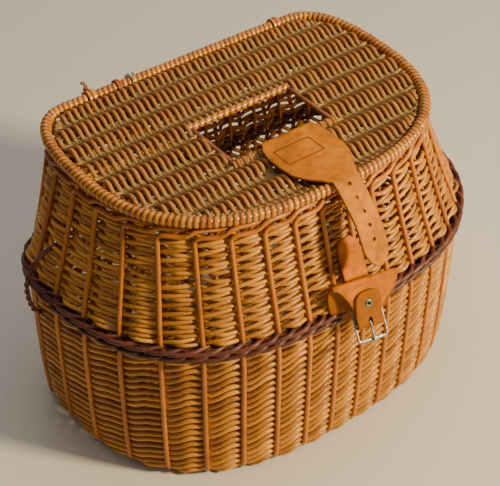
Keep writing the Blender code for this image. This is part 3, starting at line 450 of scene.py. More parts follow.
def ramp(tree, value, stops):
    node = addNode(tree, "ShaderNodeValToRGB", {0: value})
    elements = node.color_ramp.elements
    while len(elements) < len(stops):
        elements.new(1.0)
    for element, (place, shade) in zip(elements, stops):
        element.position = place
        element.color = (shade, shade, shade, 1)
    return node.outputs[0]


def noise(tree, vector, scale, detail):
    values = {"Vector": vector, "Scale": scale, "Detail": detail}
    return addNode(tree, "ShaderNodeTexNoise", values).outputs["Fac"]


def attribute(tree, label):
    return addNode(tree, "ShaderNodeAttribute", attribute_name=label).outputs["Fac"]


def objectPlace(tree):
    return addNode(tree, "ShaderNodeTexCoord").outputs["Object"]


def bumpFrom(tree, height, strength, distance):
    values = {"Strength": strength, "Distance": distance, "Height": height}
    return addNode(tree, "ShaderNodeBump", values).outputs["Normal"]


def opaque(colour, share=1.0):
    return tuple(value * share for value in colour) + (1,)


willow = {
    # scale and detail of each noise
    "alongRod": (24.0, 3.0),
    "blotch": (22.0, 4.0),
    "fine": (900.0, 3.0),
    "speck": (260.0, 5.0),
    # how much each rod's own tone, its length and the blotches count
    "toneShares": (0.55, 0.65, 0.45),
    "shadeStops": ((0.42, 0.0), (1.0, 1.0)),
    "weatherStops": ((0.42, 0.0), (0.68, 1.0)),
    "dirtStops": ((0.30, 0.6), (0.52, 1.0)),
    # how dark the painted shade in the cane's grooves gets
    "grooveShadeStops": ((0.38, 1.0), (0.96, 0.12)),
    # how far the weave's hollows are painted towards grey, as painted shade
    "hollowShadeShare": 0.80,
    "fineHeight": 0.3,
    "roughSpread": 0.30,
    "bumpStrength": 0.6,
    "coatRoughness": 0.24,
    "coatTint": (1.0, 0.93, 0.80, 1),
    "specular": 0.36,
}


def willowSkinGroup():
    group, entry, leave = newGroup("willowSkin", (
        ("Pale", "NodeSocketColor", (0.6, 0.35, 0.15, 1)),
        ("Deep", "NodeSocketColor", (0.3, 0.12, 0.04, 1)),
        ("Grey", "NodeSocketColor", (0.3, 0.25, 0.16, 1)),
        ("Weathering", "NodeSocketFloat", 0.3),
        ("Gloss", "NodeSocketFloat", 0.4),
    ), (("Colour", "NodeSocketColor"), ("Roughness", "NodeSocketFloat"), ("Height", "NodeSocketFloat")))
    place = objectPlace(group)
    seed = attribute(group, "rodSeed")
    run = attribute(group, "rodRun")
    shifted = addNode(group, "ShaderNodeCombineXYZ", {"X": seed, "Y": seed, "Z": run}).outputs[0]
    tone = addNode(group, "ShaderNodeTexWhiteNoise", {"W": seed}, noise_dimensions="1D").outputs["Value"]
    alongRod = noise(group, shifted, *willow["alongRod"])
    blotch = noise(group, place, *willow["blotch"])
    fine = noise(group, place, *willow["fine"])
    speck = noise(group, place, *willow["speck"])
    toneShare, alongShare, blotchShare = willow["toneShares"]
    mixed = mathNode(group, "MULTIPLY", alongRod, alongShare)
    mixed = mathNode(group, "MULTIPLY_ADD", tone, toneShare, mixed)
    mixed = mathNode(group, "MULTIPLY_ADD", blotch, blotchShare, mixed)
    colour = mixColour(group, ramp(group, mixed, willow["shadeStops"]), entry["Deep"], entry["Pale"])
    weather = mathNode(group, "MULTIPLY", ramp(group, speck, willow["weatherStops"]), entry["Weathering"])
    colour = mixColour(group, weather, colour, entry["Grey"])
    dust = mathNode(group, "MULTIPLY_ADD", fine, 0.5, mathNode(group, "MULTIPLY", speck, 0.5))
    colour = mixColour(group, 1.0, colour, ramp(group, dust, willow["dirtStops"]), "MULTIPLY")
    rough = mathNode(group, "MULTIPLY_ADD", speck, willow["roughSpread"], entry["Gloss"])
    group.links.new(colour, leave["Colour"])
    group.links.new(rough, leave["Roughness"])
    group.links.new(mathNode(group, "MULTIPLY_ADD", fine, willow["fineHeight"], speck), leave["Height"])
    return group


willowSkin = willowSkinGroup()


def willowFinish(name, pale, deep, grey, weathering, gloss, coat, bump=0.0005, shadedGrooves=False, hollowShade=None):
    finish, tree, shader = newFinish(name)
    skin = addNode(tree, "ShaderNodeGroup", {
        "Pale": opaque(pale), "Deep": opaque(deep), "Grey": opaque(grey), "Weathering": weathering,
        "Gloss": gloss}, node_tree=willowSkin).outputs
    colour = skin["Colour"]
    if hollowShade:
        # the weave's hollows are painted greyer and darker by height: weathered grey with painted shade
        height = addNode(tree, "ShaderNodeSeparateXYZ", {"Vector": objectPlace(tree)}).outputs[2]
        hollowShadeMask = addNode(tree, "ShaderNodeMapRange", {
            0: height, 1: hollowShade[0], 2: hollowShade[1], 3: willow["hollowShadeShare"], 4: 0.0}).outputs[0]
        colour = mixColour(tree, hollowShadeMask, colour, opaque(grey))
    if shadedGrooves:
        # painted shade darkens the grooves between the turns of wound cane and the edges of the cane loops'
        # strands
        grooveShade = ramp(tree, attribute(tree, "grooveShadeNear"), willow["grooveShadeStops"])
        colour = mixColour(tree, 1.0, colour, grooveShade, "MULTIPLY")
    putValues(tree, shader, {
        "Base Color": colour,
        "Roughness": skin["Roughness"],
        "Normal": bumpFrom(tree, skin["Height"], willow["bumpStrength"], bump),
        "Coat Weight": coat,
        "Coat Roughness": willow["coatRoughness"],
        "Coat Tint": willow["coatTint"],
        "Specular IOR Level": willow["specular"],
    })
    return finish


hide = {
    # scale and detail of each noise
    "cloud": (38.0, 5.0),
    "fuzz": (1100.0, 4.0),
    "spots": (140.0, 6.0),
    "pores": 1500.0,
    "cloudStops": ((0.35, 0.0), (0.68, 1.0)),
    "fuzzStops": ((0.3, 0.0), (0.7, 1.0)),
    "spotStops": ((0.30, 0.72), (0.50, 1.0), (0.75, 1.12)),
    "wornStops": ((0.35, 0.0), (1.05, 0.85)),
    # shares of the full colour in the dark clouds, the dark flesh and the worn edges
    "darkGrain": 0.66,
    "darkFlesh": 0.72,
    "wornEdge": 0.30,
    "poreHeight": 0.25,
    "fuzzHeight": 0.5,
    "roughness": 0.68,
    "cloudRoughness": 0.25,
    "grainRoughness": -0.20,
    "bumpStrength": 0.5,
    "bump": 0.0005,
    "specular": 0.17,
}


def leatherSkinGroup():
    group, entry, leave = newGroup("leatherSkin", (
        ("Grain", "NodeSocketColor", (0.66, 0.2, 0.01, 1)),
        ("Dark Grain", "NodeSocketColor", (0.4, 0.13, 0.01, 1)),
        ("Flesh", "NodeSocketColor", (0.4, 0.13, 0.01, 1)),
        ("Dark Flesh", "NodeSocketColor", (0.3, 0.1, 0.01, 1)),
        ("Worn Edge", "NodeSocketColor", (0.2, 0.06, 0.01, 1)),
    ), (("Colour", "NodeSocketColor"), ("Roughness", "NodeSocketFloat"), ("Height", "NodeSocketFloat")))
    place = objectPlace(group)
    side = attribute(group, "grainSide")
    cloud = noise(group, place, *hide["cloud"])
    fuzz = noise(group, place, *hide["fuzz"])
    pores = addNode(group, "ShaderNodeTexVoronoi", {
        "Vector": place, "Scale": hide["pores"]}).outputs["Distance"]
    spots = ramp(group, noise(group, place, *hide["spots"]), hide["spotStops"])
    grain = mixColour(group, ramp(group, cloud, hide["cloudStops"]), entry["Dark Grain"], entry["Grain"])
    flesh = mixColour(group, ramp(group, fuzz, hide["fuzzStops"]), entry["Dark Flesh"], entry["Flesh"])
    colour = mixColour(group, 1.0, mixColour(group, side, flesh, grain), spots, "MULTIPLY")
    worn = mathNode(group, "MULTIPLY_ADD", cloud, 0.25, attribute(group, "edgeNear"))
    colour = mixColour(group, ramp(group, worn, hide["wornStops"]), colour, entry["Worn Edge"])
    rough = mathNode(group, "MULTIPLY_ADD", cloud, hide["cloudRoughness"], hide["roughness"])
    rough = mathNode(group, "MULTIPLY_ADD", side, hide["grainRoughness"], rough)
    height = mathNode(group, "MULTIPLY", fuzz, hide["fuzzHeight"])
    height = mathNode(group, "MULTIPLY_ADD", pores, hide["poreHeight"], height)
    group.links.new(colour, leave["Colour"])
    group.links.new(rough, leave["Roughness"])
    group.links.new(height, leave["Height"])
    return group


leatherSkin = leatherSkinGroup()


def pressedLine(tree, tooling):
    # where a plain line is pressed round a rectangle on the grain side
    parts = addNode(tree, "ShaderNodeSeparateXYZ", {"Vector": objectPlace(tree)}).outputs
    past = []
    for axis, middle, half in ((0, "x", "halfX"), (1, "y", "halfY")):
        away = mathNode(tree, "ABSOLUTE", mathNode(tree, "SUBTRACT", parts[axis], tooling[middle]))
        past.append(mathNode(tree, "SUBTRACT", away, tooling[half]))
    reach = mathNode(tree, "ABSOLUTE", mathNode(tree, "SMOOTH_MAX", *past, tooling["corner"]))
    line = ramp(tree, mathNode(tree, "MULTIPLY", reach, 1 / tooling["width"]), tooling["stops"])
    return mathNode(tree, "MULTIPLY", line, attribute(tree, "grainSide"))


def leatherFinish(name, grain, flesh, tooling=None):
    finish, tree, shader = newFinish(name)
    skin = addNode(tree, "ShaderNodeGroup", {
        "Grain": opaque(grain), "Dark Grain": opaque(grain, hide["darkGrain"]),
        "Flesh": opaque(flesh), "Dark Flesh": opaque(flesh, hide["darkFlesh"]),
        "Worn Edge": opaque(grain, hide["wornEdge"])}, node_tree=leatherSkin).outputs
    colour, height = skin["Colour"], skin["Height"]
    if tooling:
        line = pressedLine(tree, tooling)
        darkness = mathNode(tree, "MULTIPLY", line, tooling["darkening"])
        colour = mixColour(tree, darkness, colour, tooling["colour"])
        height = mathNode(tree, "MULTIPLY_ADD", line, -tooling["depth"], height)
    putValues(tree, shader, {
        "Base Color": colour,
        "Roughness": skin["Roughness"],
        "Normal": bumpFrom(tree, height, hide["bumpStrength"], hide["bump"]),
        "Specular IOR Level": hide["specular"],
    })
    return finish


metal = {
    "tarnish": (420.0, 5.0),
    "tarnishStops": ((0.40, 0.0), (0.62, 1.0)),
    "roughSpread": 0.30,
    "bumpStrength": 0.35,
    "bump": 0.0002,
    "metallic": 0.9,
}


def tarnishGroup():
    group, entry, leave = newGroup("tarnish", (
        ("Bright", "NodeSocketColor", (0.6, 0.6, 0.55, 1)),
        ("Dull", "NodeSocketColor", (0.25, 0.25, 0.2, 1)),
        ("Polish", "NodeSocketFloat", 0.3),
    ), (("Colour", "NodeSocketColor"), ("Roughness", "NodeSocketFloat"), ("Height", "NodeSocketFloat")))
    spread = noise(group, objectPlace(group), *metal["tarnish"])
    colour = mixColour(group, ramp(group, spread, metal["tarnishStops"]), entry["Dull"], entry["Bright"])
    rough = mathNode(group, "MULTIPLY_ADD", spread, metal["roughSpread"], entry["Polish"])
    group.links.new(colour, leave["Colour"])
    group.links.new(rough, leave["Roughness"])
    group.links.new(spread, leave["Height"])
    return group


tarnish = tarnishGroup()


def metalFinish(name, bright, dull, roughness):
    finish, tree, shader = newFinish(name)
    skin = addNode(tree, "ShaderNodeGroup", {
        "Bright": opaque(bright), "Dull": opaque(dull), "Polish": roughness}, node_tree=tarnish).outputs
    putValues(tree, shader, {
        "Base Color": skin["Colour"],
        "Roughness": skin["Roughness"],
        "Normal": bumpFrom(tree, skin["Height"], metal["bumpStrength"], metal["bump"]),
        "Metallic": metal["metallic"],
    })
    return finish


plateTooling = {
    "x": -0.0050,
    "y": -0.0705,
    "halfX": 0.0180,
    "halfY": 0.0105,
    "corner": 0.004,
    "width": 0.0011,
    "stops": ((0.35, 1.0), (1.0, 0.0)),
    "darkening": 0.62,
    "colour": (0.10, 0.030, 0.008, 1),
    "depth": 2.5,
}

finishes = {
    "buff": willowFinish(
        "buffWillow", pale=(0.70, 0.305, 0.036), deep=(0.26, 0.076, 0.008), grey=(0.30, 0.17, 0.045),
        weathering=0.35, gloss=0.24, coat=0.24),
    "stake": willowFinish(
        "stakeWillow", pale=(0.62, 0.215, 0.022), deep=(0.27, 0.062, 0.005), grey=(0.30, 0.13, 0.030),
        weathering=0.35, gloss=0.26, coat=0.20),
    # the lid's willow, weathered, with painted shade in the weave's hollows
    "weatheredHollowShade": willowFinish(
        "weatheredWillowHollowShade", pale=(0.49, 0.190, 0.036), deep=(0.27, 0.085, 0.014), grey=(0.30, 0.190, 0.065),
        weathering=0.45, gloss=0.38, coat=0.04, hollowShade=(0.2615, 0.2662)),
    "dark": willowFinish(
        "darkWillow", pale=(0.150, 0.036, 0.022), deep=(0.050, 0.010, 0.008), grey=(0.13, 0.065, 0.045),
        weathering=0.35, gloss=0.34, coat=0.10),
    "stick": willowFinish(
        "bareStick", pale=(0.36, 0.13, 0.045), deep=(0.16, 0.050, 0.020), grey=(0.20, 0.11, 0.06),
        weathering=0.30, gloss=0.30, coat=0.15),
    # the wound cane, with painted shade in its grooves
    "cane": willowFinish(
        "goldenCane", pale=(0.78, 0.30, 0.016), deep=(0.40, 0.100, 0.004), grey=(0.30, 0.14, 0.03),
        weathering=0.25, gloss=0.12, coat=0.55, bump=0.0004, shadedGrooves=True),
    "plate": leatherFinish("strapLeather", (0.66, 0.205, 0.004), (0.40, 0.13, 0.010), plateTooling),
    "buckleLeather": leatherFinish("buckleLeather", (0.70, 0.195, 0.003), (0.38, 0.120, 0.008)),
    "thong": leatherFinish("thongLeather", (0.36, 0.10, 0.035), (0.30, 0.11, 0.05)),
    "steel": metalFinish("dullSteel", (0.58, 0.57, 0.52), (0.26, 0.25, 0.20), 0.24),
    "eyelet": metalFinish("dullBrass", (0.36, 0.37, 0.27), (0.16, 0.18, 0.13), 0.34),
}
print("materials made")

wallWeave = {
    "pitch": 0.0075,
    "lowerRadius": 0.00230,
    "upperRadius": 0.00180,
    "taper": 0.14,
    "thickness": (0.93, 1.05),
    "wander": 0.0003,
    "samplesPerBay": 12,
    "rodsPerRow": 3,
    "tuckIn": 0.0030,
    "behind": 0.0040,
    "dip": 0.0020,
    "dipHalf": 0.12,
    "rowWander": 0.04,
    # how far a rod's height is evened out along it, and how far past the last row it may go, in rows
    "evening": (0.22, 0.56, 0.22),
    "pastRows": 0.22,
    "tableRows": 40,
    "lowerRange": (0.0020, bandLow - 0.0004),
    "upperRange": (bandHigh + 0.0002, levels["wallTop"] + 0.0008),
    # along a bay between two stakes that show: the rows a rod of the lower wall climbs, one more each bay
    "climb": ((0, -0.55), (0.08, -0.68), (0.30, -0.14), (0.56, 0.62), (0.76, 0.58), (1, 0.45)),
    # and for the two rods that twist in each row of the upper wall: rows climbed and share of the way behind
    "leading": ((0, -0.25, 0), (0.25, 0, 0), (0.5, 0.22, 0), (0.75, 0.34, 0.2), (0.9, 0.34, 0.75),
                (1, 0.28, 1)),
    "following": ((0, 0.28, 1), (0.1, 0.10, 0.95), (0.3, -0.22, 0.5), (0.5, -0.28, 0), (0.75, -0.25, 0),
                  (1, -0.25, 0)),
}


def rowHeights(lowZ, highZ, pitch):
    # rows spaced evenly along the wall's slope at the front
    heights = np.linspace(lowZ, highZ, 200)
    edge = np.array([wallPoints(z, [0])[0] for z in heights])
    slope = travel(edge)
    count = max(2, round(slope[-1] / pitch))
    wanted = (np.arange(count) + 0.5) * slope[-1] / count
    return np.interp(wanted, slope, heights)


def wallGrid(lowZ, highZ):
    # the wall's surface as a table, by height and by place round
    heights, bay = np.linspace(lowZ, highZ, wallWeave["tableRows"]), wallWeave["samplesPerBay"]
    stake = 1 + 2 * np.arange(stakeSet["count"] // 2 * bay) / bay
    found = [wallLine(z, stake) for z in heights]
    swings = np.array([swingAt(z) for z in heights])
    return heights, np.array([line[0] for line in found]), np.array([line[1] for line in found]), swings


def onWall(grid, z, index, behind):
    # points on the pleated wall, some of them pushed in behind it
    heights, points, normals, swings = grid
    place = np.clip(np.interp(z, heights, np.arange(len(heights))), 0, len(heights) - 1.001)
    low = place.astype(int)
    share = (place - low)[:, None]
    around = index % points.shape[1]
    here = points[low, around] * (1 - share) + points[low + 1, around] * share
    normal = normals[low, around] * (1 - share) + normals[low + 1, around] * share
    bay = index / wallWeave["samplesPerBay"]
    depth = -np.cos(2 * math.pi * bay) * np.interp(z, heights, swings) - behind
    # every rod ducks behind the stakes that show
    depth -= wallWeave["dip"] * (1 - smoothStep(np.abs(bay - np.round(bay)) / wallWeave["dipHalf"]))
    return here + normal * depth[:, None]


def tuckedEnds(count):
    # a rod's first and last samples go in behind the wall
    inward = np.zeros(count)
    inward[-5:] = np.linspace(0, 1, 5)
    inward[:4] = np.linspace(1, 0, 4)
    return inward * wallWeave["tuckIn"]


def rodLine(grid, heights, row, index, behind, radius):
    # one rod of a wall, from the rows that it is at along its way
    count, pitch = len(heights), heights[1] - heights[0]
    past = wallWeave["pastRows"] * pitch
    row = np.convolve(np.concatenate((row[:1], row, row[-1:])), wallWeave["evening"], "valid")
    stops = np.concatenate(([heights[0] - pitch], heights, [heights[-1] + pitch]))
    z = np.interp(row, np.arange(-1, count + 1), stops)
    z = np.clip(z, heights[0] - past, heights[-1] + past)
    taper = wallWeave["taper"] / 2
    thick = radius * dice.uniform(*wallWeave["thickness"]) * np.linspace(1 + taper, 1 - taper, len(row))
    return onWall(grid, z, index, behind + tuckedEnds(len(row))), thick, False


def lowerLines(lowZ, highZ):
    # one rod starts in every bay and each climbs one row a bay
    grid, heights = wallGrid(lowZ, highZ), rowHeights(lowZ, highZ, wallWeave["pitch"])
    bay, lines = wallWeave["samplesPerBay"], []
    climb = np.array(wallWeave["climb"])
    for start in range(stakeSet["count"] // 2):
        step = np.arange(len(heights) * bay + 1)
        row = step // bay + np.interp(step % bay / bay, climb[:, 0], climb[:, 1])
        row += smoothNoise(len(step), (3, 7, 12), f"lower{start}") * wallWeave["wander"] / wallWeave["pitch"]
        behind = np.zeros(len(step))
        lines.append(rodLine(grid, heights, row, start * bay + step, behind, wallWeave["lowerRadius"]))
    return lines


def upperLines(lowZ, highZ):
    # two rods in each row, that twist about each other behind every stake that shows
    grid, heights = wallGrid(lowZ, highZ), rowHeights(lowZ, highZ, wallWeave["pitch"])
    bay, lines = wallWeave["samplesPerBay"], []
    bays = stakeSet["count"] // 2
    parts = [np.array(wallWeave[label]) for label in ("leading", "following")]
    for level in range(len(heights)):
        for rod in range(2):
            starts = sorted({dice.randrange(bays) for _ in range(wallWeave["rodsPerRow"])})
            for index, start in enumerate(starts):
                end = starts[(index + 1) % len(starts)]
                if end <= start:
                    end += bays
                step = np.arange(start * bay, end * bay + 3)
                share = step % bay / bay
                leading, following = [
                    [np.interp(share, part[:, 0], part[:, column]) for column in (1, 2)] for part in parts]
                leads = (step // bay + rod) % 2 == 0
                row = level + np.where(leads, leading[0], following[0])
                behind = np.where(leads, leading[1], following[1]) * wallWeave["behind"]
                wander = smoothNoise(len(step), (3, 7, 12), f"upper{level}{rod}{start}")
                row += wander * wallWeave["rowWander"]
                lines.append(rodLine(grid, heights, row, step, behind, wallWeave["upperRadius"]))
    return lines


finishPiece(rodBundle(lowerLines(*wallWeave["lowerRange"])), "lowerWeave", "basket", "buff_willow",
            finishes["buff"], "wall_lower")
finishPiece(rodBundle(upperLines(*wallWeave["upperRange"])), "upperWeave", "basket", "buff_willow",
            finishes["buff"], "wall_upper")
print("walls woven")

stakeRods = {
    "radius": 0.0024,
    "innerRadius": 0.0021,
    "clear": 0.0020,
    "inner": 0.0046,
    "tip": 0.84,
    # bays along, height over the ring and distance out, of a stake that bends right behind the next but one
    "outerBend": ((0.12, -0.0012, 0.0022), (0.35, 0.0002, 0.0028), (0.8, 0.0004, 0.0028),
                  (1.3, 0.0006, 0.0026), (1.7, 0.0020, 0.0030), (2.1, 0.0055, 0.0030),
                  (2.6, 0.0069, 0.0022), (3.2, 0.0067, 0.0014), (3.8, 0.0057, -0.0008),
                  (4.3, -0.0010, -0.0032), (4.7, -0.0050, -0.0048)),
    "innerBend": ((0.15, -0.0002, -0.0016), (0.6, 0.0055, -0.0012), (1.4, 0.0065, -0.0016),
                  (2.2, 0.0059, -0.0020)),
}


def stakeLines():
    # upright stakes, inside and outside the weave by turns, each bent down into the border
    lines = []
    heights = np.concatenate((np.linspace(levels["foot"] - 0.001, levels["band"], 20),
                              np.linspace(levels["band"] + 0.006, levels["ring"] - 0.004, 12)))
    for stake in range(stakeSet["count"]):
        outside = stake % 2 == 1
        path = []
        for z in heights:
            offset = stakeRods["clear"] - swingAt(z) if outside else swingAt(z) - stakeRods["inner"]
            path.append(besideWall(z, stake, offset))
        for bay, rise, out in stakeRods["outerBend" if outside else "innerBend"]:
            path.append(besideWall(levels["ring"] + rise, stake + bay, out))
        radius = stakeRods["radius" if outside else "innerRadius"]
        points = smoothPath(path, 3)
        lines.append((points, np.linspace(radius, radius * stakeRods["tip"], len(points)), False))
    return lines


finishPiece(rodBundle(stakeLines()), "stakesAndBorder", "basket", "buff_willow", finishes["stake"],
            "stakes", "border_rod")
print("stakes stood and bent into the border")

bandRods = {
    "rounds": (-0.0030, 0.0030),
    "rods": 3,
    "reach": 0.0054,
    "lift": 0.0013,
    "radius": 0.0020,
    "thickness": (0.94, 1.06),
    "samples": 8,
    # out and in again over three stakes, in half stakes
    "weave": (1.0, 1.0, -0.22, -1.0, -0.22, 1.0, 1.0),
}


def bandLines():
    # each rod passes in front of two stakes and behind one, in two rounds
    lines = []
    total = stakeSet["count"] * bandRods["samples"]
    stake = np.arange(total) / bandRods["samples"]
    here, normal = wallLine(levels["band"], stake)
    for level, height in enumerate(bandRods["rounds"]):
        for rod in range(bandRods["rods"]):
            phase = ((stake + rod + 0.5 + level * 1.5) % 3) / 3
            swell = np.interp(phase * 6, range(7), bandRods["weave"])
            swell = np.convolve(np.concatenate((swell[-4:], swell, swell[:4])), np.ones(5) / 5, "same")[4:-4]
            lift = height + bandRods["lift"] * np.sin(phase * 2 * math.pi)
            points = here + normal * (bandRods["reach"] * swell)[:, None] + np.outer(lift, (0, 0, 1))
            lines.append((points, bandRods["radius"] * dice.uniform(*bandRods["thickness"]), True))
    return lines


finishPiece(rodBundle(bandLines()), "bandRods", "basket", "dark_willow", finishes["dark"],
            "band_rod_1", "band_rod_2", "band_rod_3")
print("dark band twined")

harness = {
    "y": 0.0300,
    "low": 0.1300,
    "top": 0.1900,
    "radius": 0.0019,
    "crest": 0.0153,
    "foot": 0.0042,
    "past": 0.003,
    "sunk": 0.001,
    "twists": 4.5,
    "spread": 0.62,
    "strand": 0.66,
}


def harnessLines(side):
    # two strands twisted together, from under the dark band to over it
    places = wallLine(levels["band"], np.arange(stakeSet["count"]))[0]
    beside = [stake for stake in range(0, stakeSet["count"], 2) if places[stake][0] * side > 0]
    chosen = min(beside, key=lambda stake: abs(places[stake][1] - harness["y"]))
    crest = besideWall(levels["band"], chosen, harness["crest"])
    path = [besideWall(harness["low"] - harness["past"], chosen, -harness["sunk"])]
    for share in np.linspace(0, 1, 13):
        z = harness["low"] + (harness["top"] - harness["low"]) * share
        foot = besideWall(z, chosen, swingAt(z) + harness["foot"])
        swell = math.sin(math.pi * share) ** 0.5 if 0 < share < 1 else 0.0
        point = foot + (crest - foot) * swell
        path.append((point[0], point[1], z))
    path.append(besideWall(harness["top"] + harness["past"], chosen, -harness["sunk"]))
    middle = smoothPath(path, 4)
    turn = np.linspace(0, 2 * math.pi * harness["twists"], len(middle))
    wind = np.outer(np.cos(turn), (0, 1.0, 0)) + np.outer(np.sin(turn), (side, 0, 0))
    wind *= harness["radius"] * harness["spread"]
    return [(middle + wind * sign, harness["radius"] * harness["strand"], False) for sign in (-1, 1)]


for side, word in ((-1, "left"), (1, "right")):
    finishPiece(rodBundle(harnessLines(side)), f"harnessLoop{word.title()}", "basket", "dark_willow",
                finishes["dark"], f"harness_loop_{word}")
print("harness loops bent")

baseWeave = {
    "pitch": 0.0068,
    "radius": 0.0022,
    "ribPitch": 0.0220,
    "z": 0.0032,
    "inset": 0.0055,
    "firstRow": 0.7,
    "lastRow": 0.5,
    "short": 0.002,
    "sample": 0.0035,
    "swing": 0.0010,
}


def baseLines():
    # plain weave from side to side, over and under ribs
    lines = []
    plan, pitch = insetPlan(bodyPlan(levels["foot"])[0], baseWeave["inset"]), baseWeave["pitch"]
    first, last = plan[1] + pitch * baseWeave["firstRow"], plan[2] - pitch * baseWeave["lastRow"]
    for row, y in enumerate(np.arange(first, last, pitch)):
        reach = halfWidthAt(plan, y) - baseWeave["short"]
        x = np.arange(-reach, reach, baseWeave["sample"])
        swing = baseWeave["swing"] * np.cos(math.pi * x / baseWeave["ribPitch"] + math.pi * (row % 2))
        points = np.column_stack((x, np.full(len(x), y), baseWeave["z"] + swing))
        lines.append((points, baseWeave["radius"], False))
    return lines


finishPiece(rodBundle(baseLines(), 6), "baseWeave", "basket", "buff_willow", finishes["buff"], "base")
print("base woven")

lidWeave = {
    "pitch": 0.0062,
    "radius": 0.0020,
    "underRadius": 0.0016,
    "swing": 0.0040,
    "drop": 0.0060,
    "stickPitch": 0.0130,
    "holeRearY": 0.0165,
    "holeHalf": 0.0515,
    "postRadius": 0.0022,
    "stickRadius": 0.0018,
    "behind": 6,
    "across": 4,
    "before": 4,
    "edge": 0.0058,
    "thickness": (0.92, 1.06),
    "aside": 0.0003,
    "wander": 0.0004,
    "sample": 0.0017,
    "sideGap": 0.004,
    "holeMargin": 0.0035,
    "shortest": 0.012,
    "ease": 0.007,
    "holeEase": 0.0006,
    "turnBack": 0.004,
    "stickShort": 0.0004,
    "stickEase": 0.02,
    "stickSamples": 61,
    "postGap": 0.0034,
    "postRise": 0.0004,
}
lidField = insetPlan(plans["lid"], lidWeave["edge"])
holeFrontY = lidWeave["holeRearY"] - (lidWeave["across"] + 1) * lidWeave["stickPitch"]


def lidLines():
    # rods from front to rear that hump over every other stick, and thinner ones between that dive under it
    lines = []
    reach = plans["lid"][0] - lidWeave["edge"] - lidWeave["sideGap"]
    columns = int(2 * reach / lidWeave["pitch"]) * 2
    valley = lidWeave["stickRadius"] + lidWeave["underRadius"] - lidWeave["drop"]
    for column in range(columns + 1):
        aside = dice.uniform(-lidWeave["aside"], lidWeave["aside"])
        x = (column - columns / 2) * lidWeave["pitch"] / 2 + aside
        front, rear = depthAt(lidField, x)
        spans = [(front, rear)]
        if abs(x) < lidWeave["holeHalf"] + lidWeave["holeMargin"]:
            spans = [(front, holeFrontY - lidWeave["holeEase"]),
                     (lidWeave["holeRearY"] + lidWeave["holeEase"], rear)]
        for low, high in spans:
            if high - low < lidWeave["shortest"]:
                continue
            y = np.arange(low, high, lidWeave["sample"])
            phase = (y - lidWeave["holeRearY"]) / lidWeave["stickPitch"]
            radius = lidWeave["underRadius" if column % 2 else "radius"]
            ridge = -lidWeave["swing"] if column % 2 else lidWeave["swing"]
            z = (valley + ridge) / 2 + (ridge - valley) / 2 * np.cos(math.pi * phase)
            wander = smoothNoise(len(y), (1, 2, 5), f"lid{column}{low:.3f}") * lidWeave["wander"]
            ease = smoothStep((y - low) / lidWeave["ease"]) * smoothStep((high - y) / lidWeave["ease"])
            points = np.column_stack((x + wander, y, levels["lid"] + z * ease))
            if len(spans) == 2 and low < holeFrontY:
                # round the hole's front rod
                bendRadius = lidWeave["stickRadius"] + radius
                turns = np.linspace(math.pi / 2, -math.pi / 2, 9)
                bend = np.column_stack((np.full(len(turns), points[-1, 0]),
                                        holeFrontY + bendRadius * np.cos(turns),
                                        levels["lid"] + bendRadius * np.sin(turns)))
                points = np.concatenate((points[y < holeFrontY - lidWeave["turnBack"]], bend))
            lines.append((points, radius * dice.uniform(*lidWeave["thickness"]), False))
    return lines


def lidStickLines():
    # sticks from left to right, every other one sunk, and those beside the hole in two parts
    lines = []
    for number in range(-lidWeave["across"] - lidWeave["before"] - 1, lidWeave["behind"] + 1):
        y = lidWeave["holeRearY"] + number * lidWeave["stickPitch"]
        end = halfWidthAt(lidField, y) - lidWeave["stickShort"]
        spans = [(-end, end)]
        if -lidWeave["across"] <= number <= 0:
            stop = lidWeave["holeHalf"] + lidWeave["postRadius"]
            spans = [(-end, -stop), (stop, end)]
        for low, high in spans:
            x = np.linspace(low, high, lidWeave["stickSamples"])
            gentle = lidWeave["stickEase"]
            ease = smoothStep((x - low) / gentle) * smoothStep((high - x) / gentle)
            drop = lidWeave["drop"] if number % 2 else 0.0
            if number == -lidWeave["across"] - 1:
                # the hole's front rod stays level along the hole
                drop *= smoothStep((np.abs(x) - lidWeave["holeHalf"] - 0.004) / 0.012)
            points = np.column_stack((x, np.full(len(x), y), levels["lid"] - drop * ease))
            lines.append((points, lidWeave["stickRadius"], False))
    return lines


sideSticks = ("06", "07", "08", "09")
wholeSticks = ("01", "02", "03", "04", "11", "12", "13", "14", "15", "16")
finishPiece(rodBundle(lidLines()), "lidWeave", "lid", "weathered_willow", finishes["weatheredHollowShade"], "lid_weave")
finishPiece(rodBundle(lidStickLines()), "lidSticks", "lid", "weathered_willow", finishes["weatheredHollowShade"],
            "hole_front_rod", *(f"lid_stick_{label}" for label in wholeSticks),
            *(f"lid_stick_{label}_{word}" for label in sideSticks for word in ("left", "right")))


def postLines():
    # the hole's two side sticks
    lines = []
    front = holeFrontY + lidWeave["stickRadius"]
    rear = lidWeave["holeRearY"] - lidWeave["postGap"]
    for side in (-1, 1):
        y = np.linspace(front, rear, 8)
        x = np.full(8, side * lidWeave["holeHalf"])
        points = np.column_stack((x, y, np.full(8, levels["lid"] + lidWeave["postRise"])))
        lines.append((points, lidWeave["postRadius"] * np.linspace(1.05, 0.9, 8), False))
    return lines


finishPiece(rodBundle(postLines(), 10), "holePosts", "lid", "dark_willow", finishes["stick"],
            "hole_post_left", "hole_post_right")
print("lid woven")

rimWrap = {"pitch": 0.0050, "core": 0.0038, "bulge": 0.0013, "slant": 0.9, "around": 20, "perTurn": 8}
rearWrap = {"pitch": 0.0062, "core": 0.0026, "bulge": 0.0008, "slant": 1.6, "around": 16, "perTurn": 10}


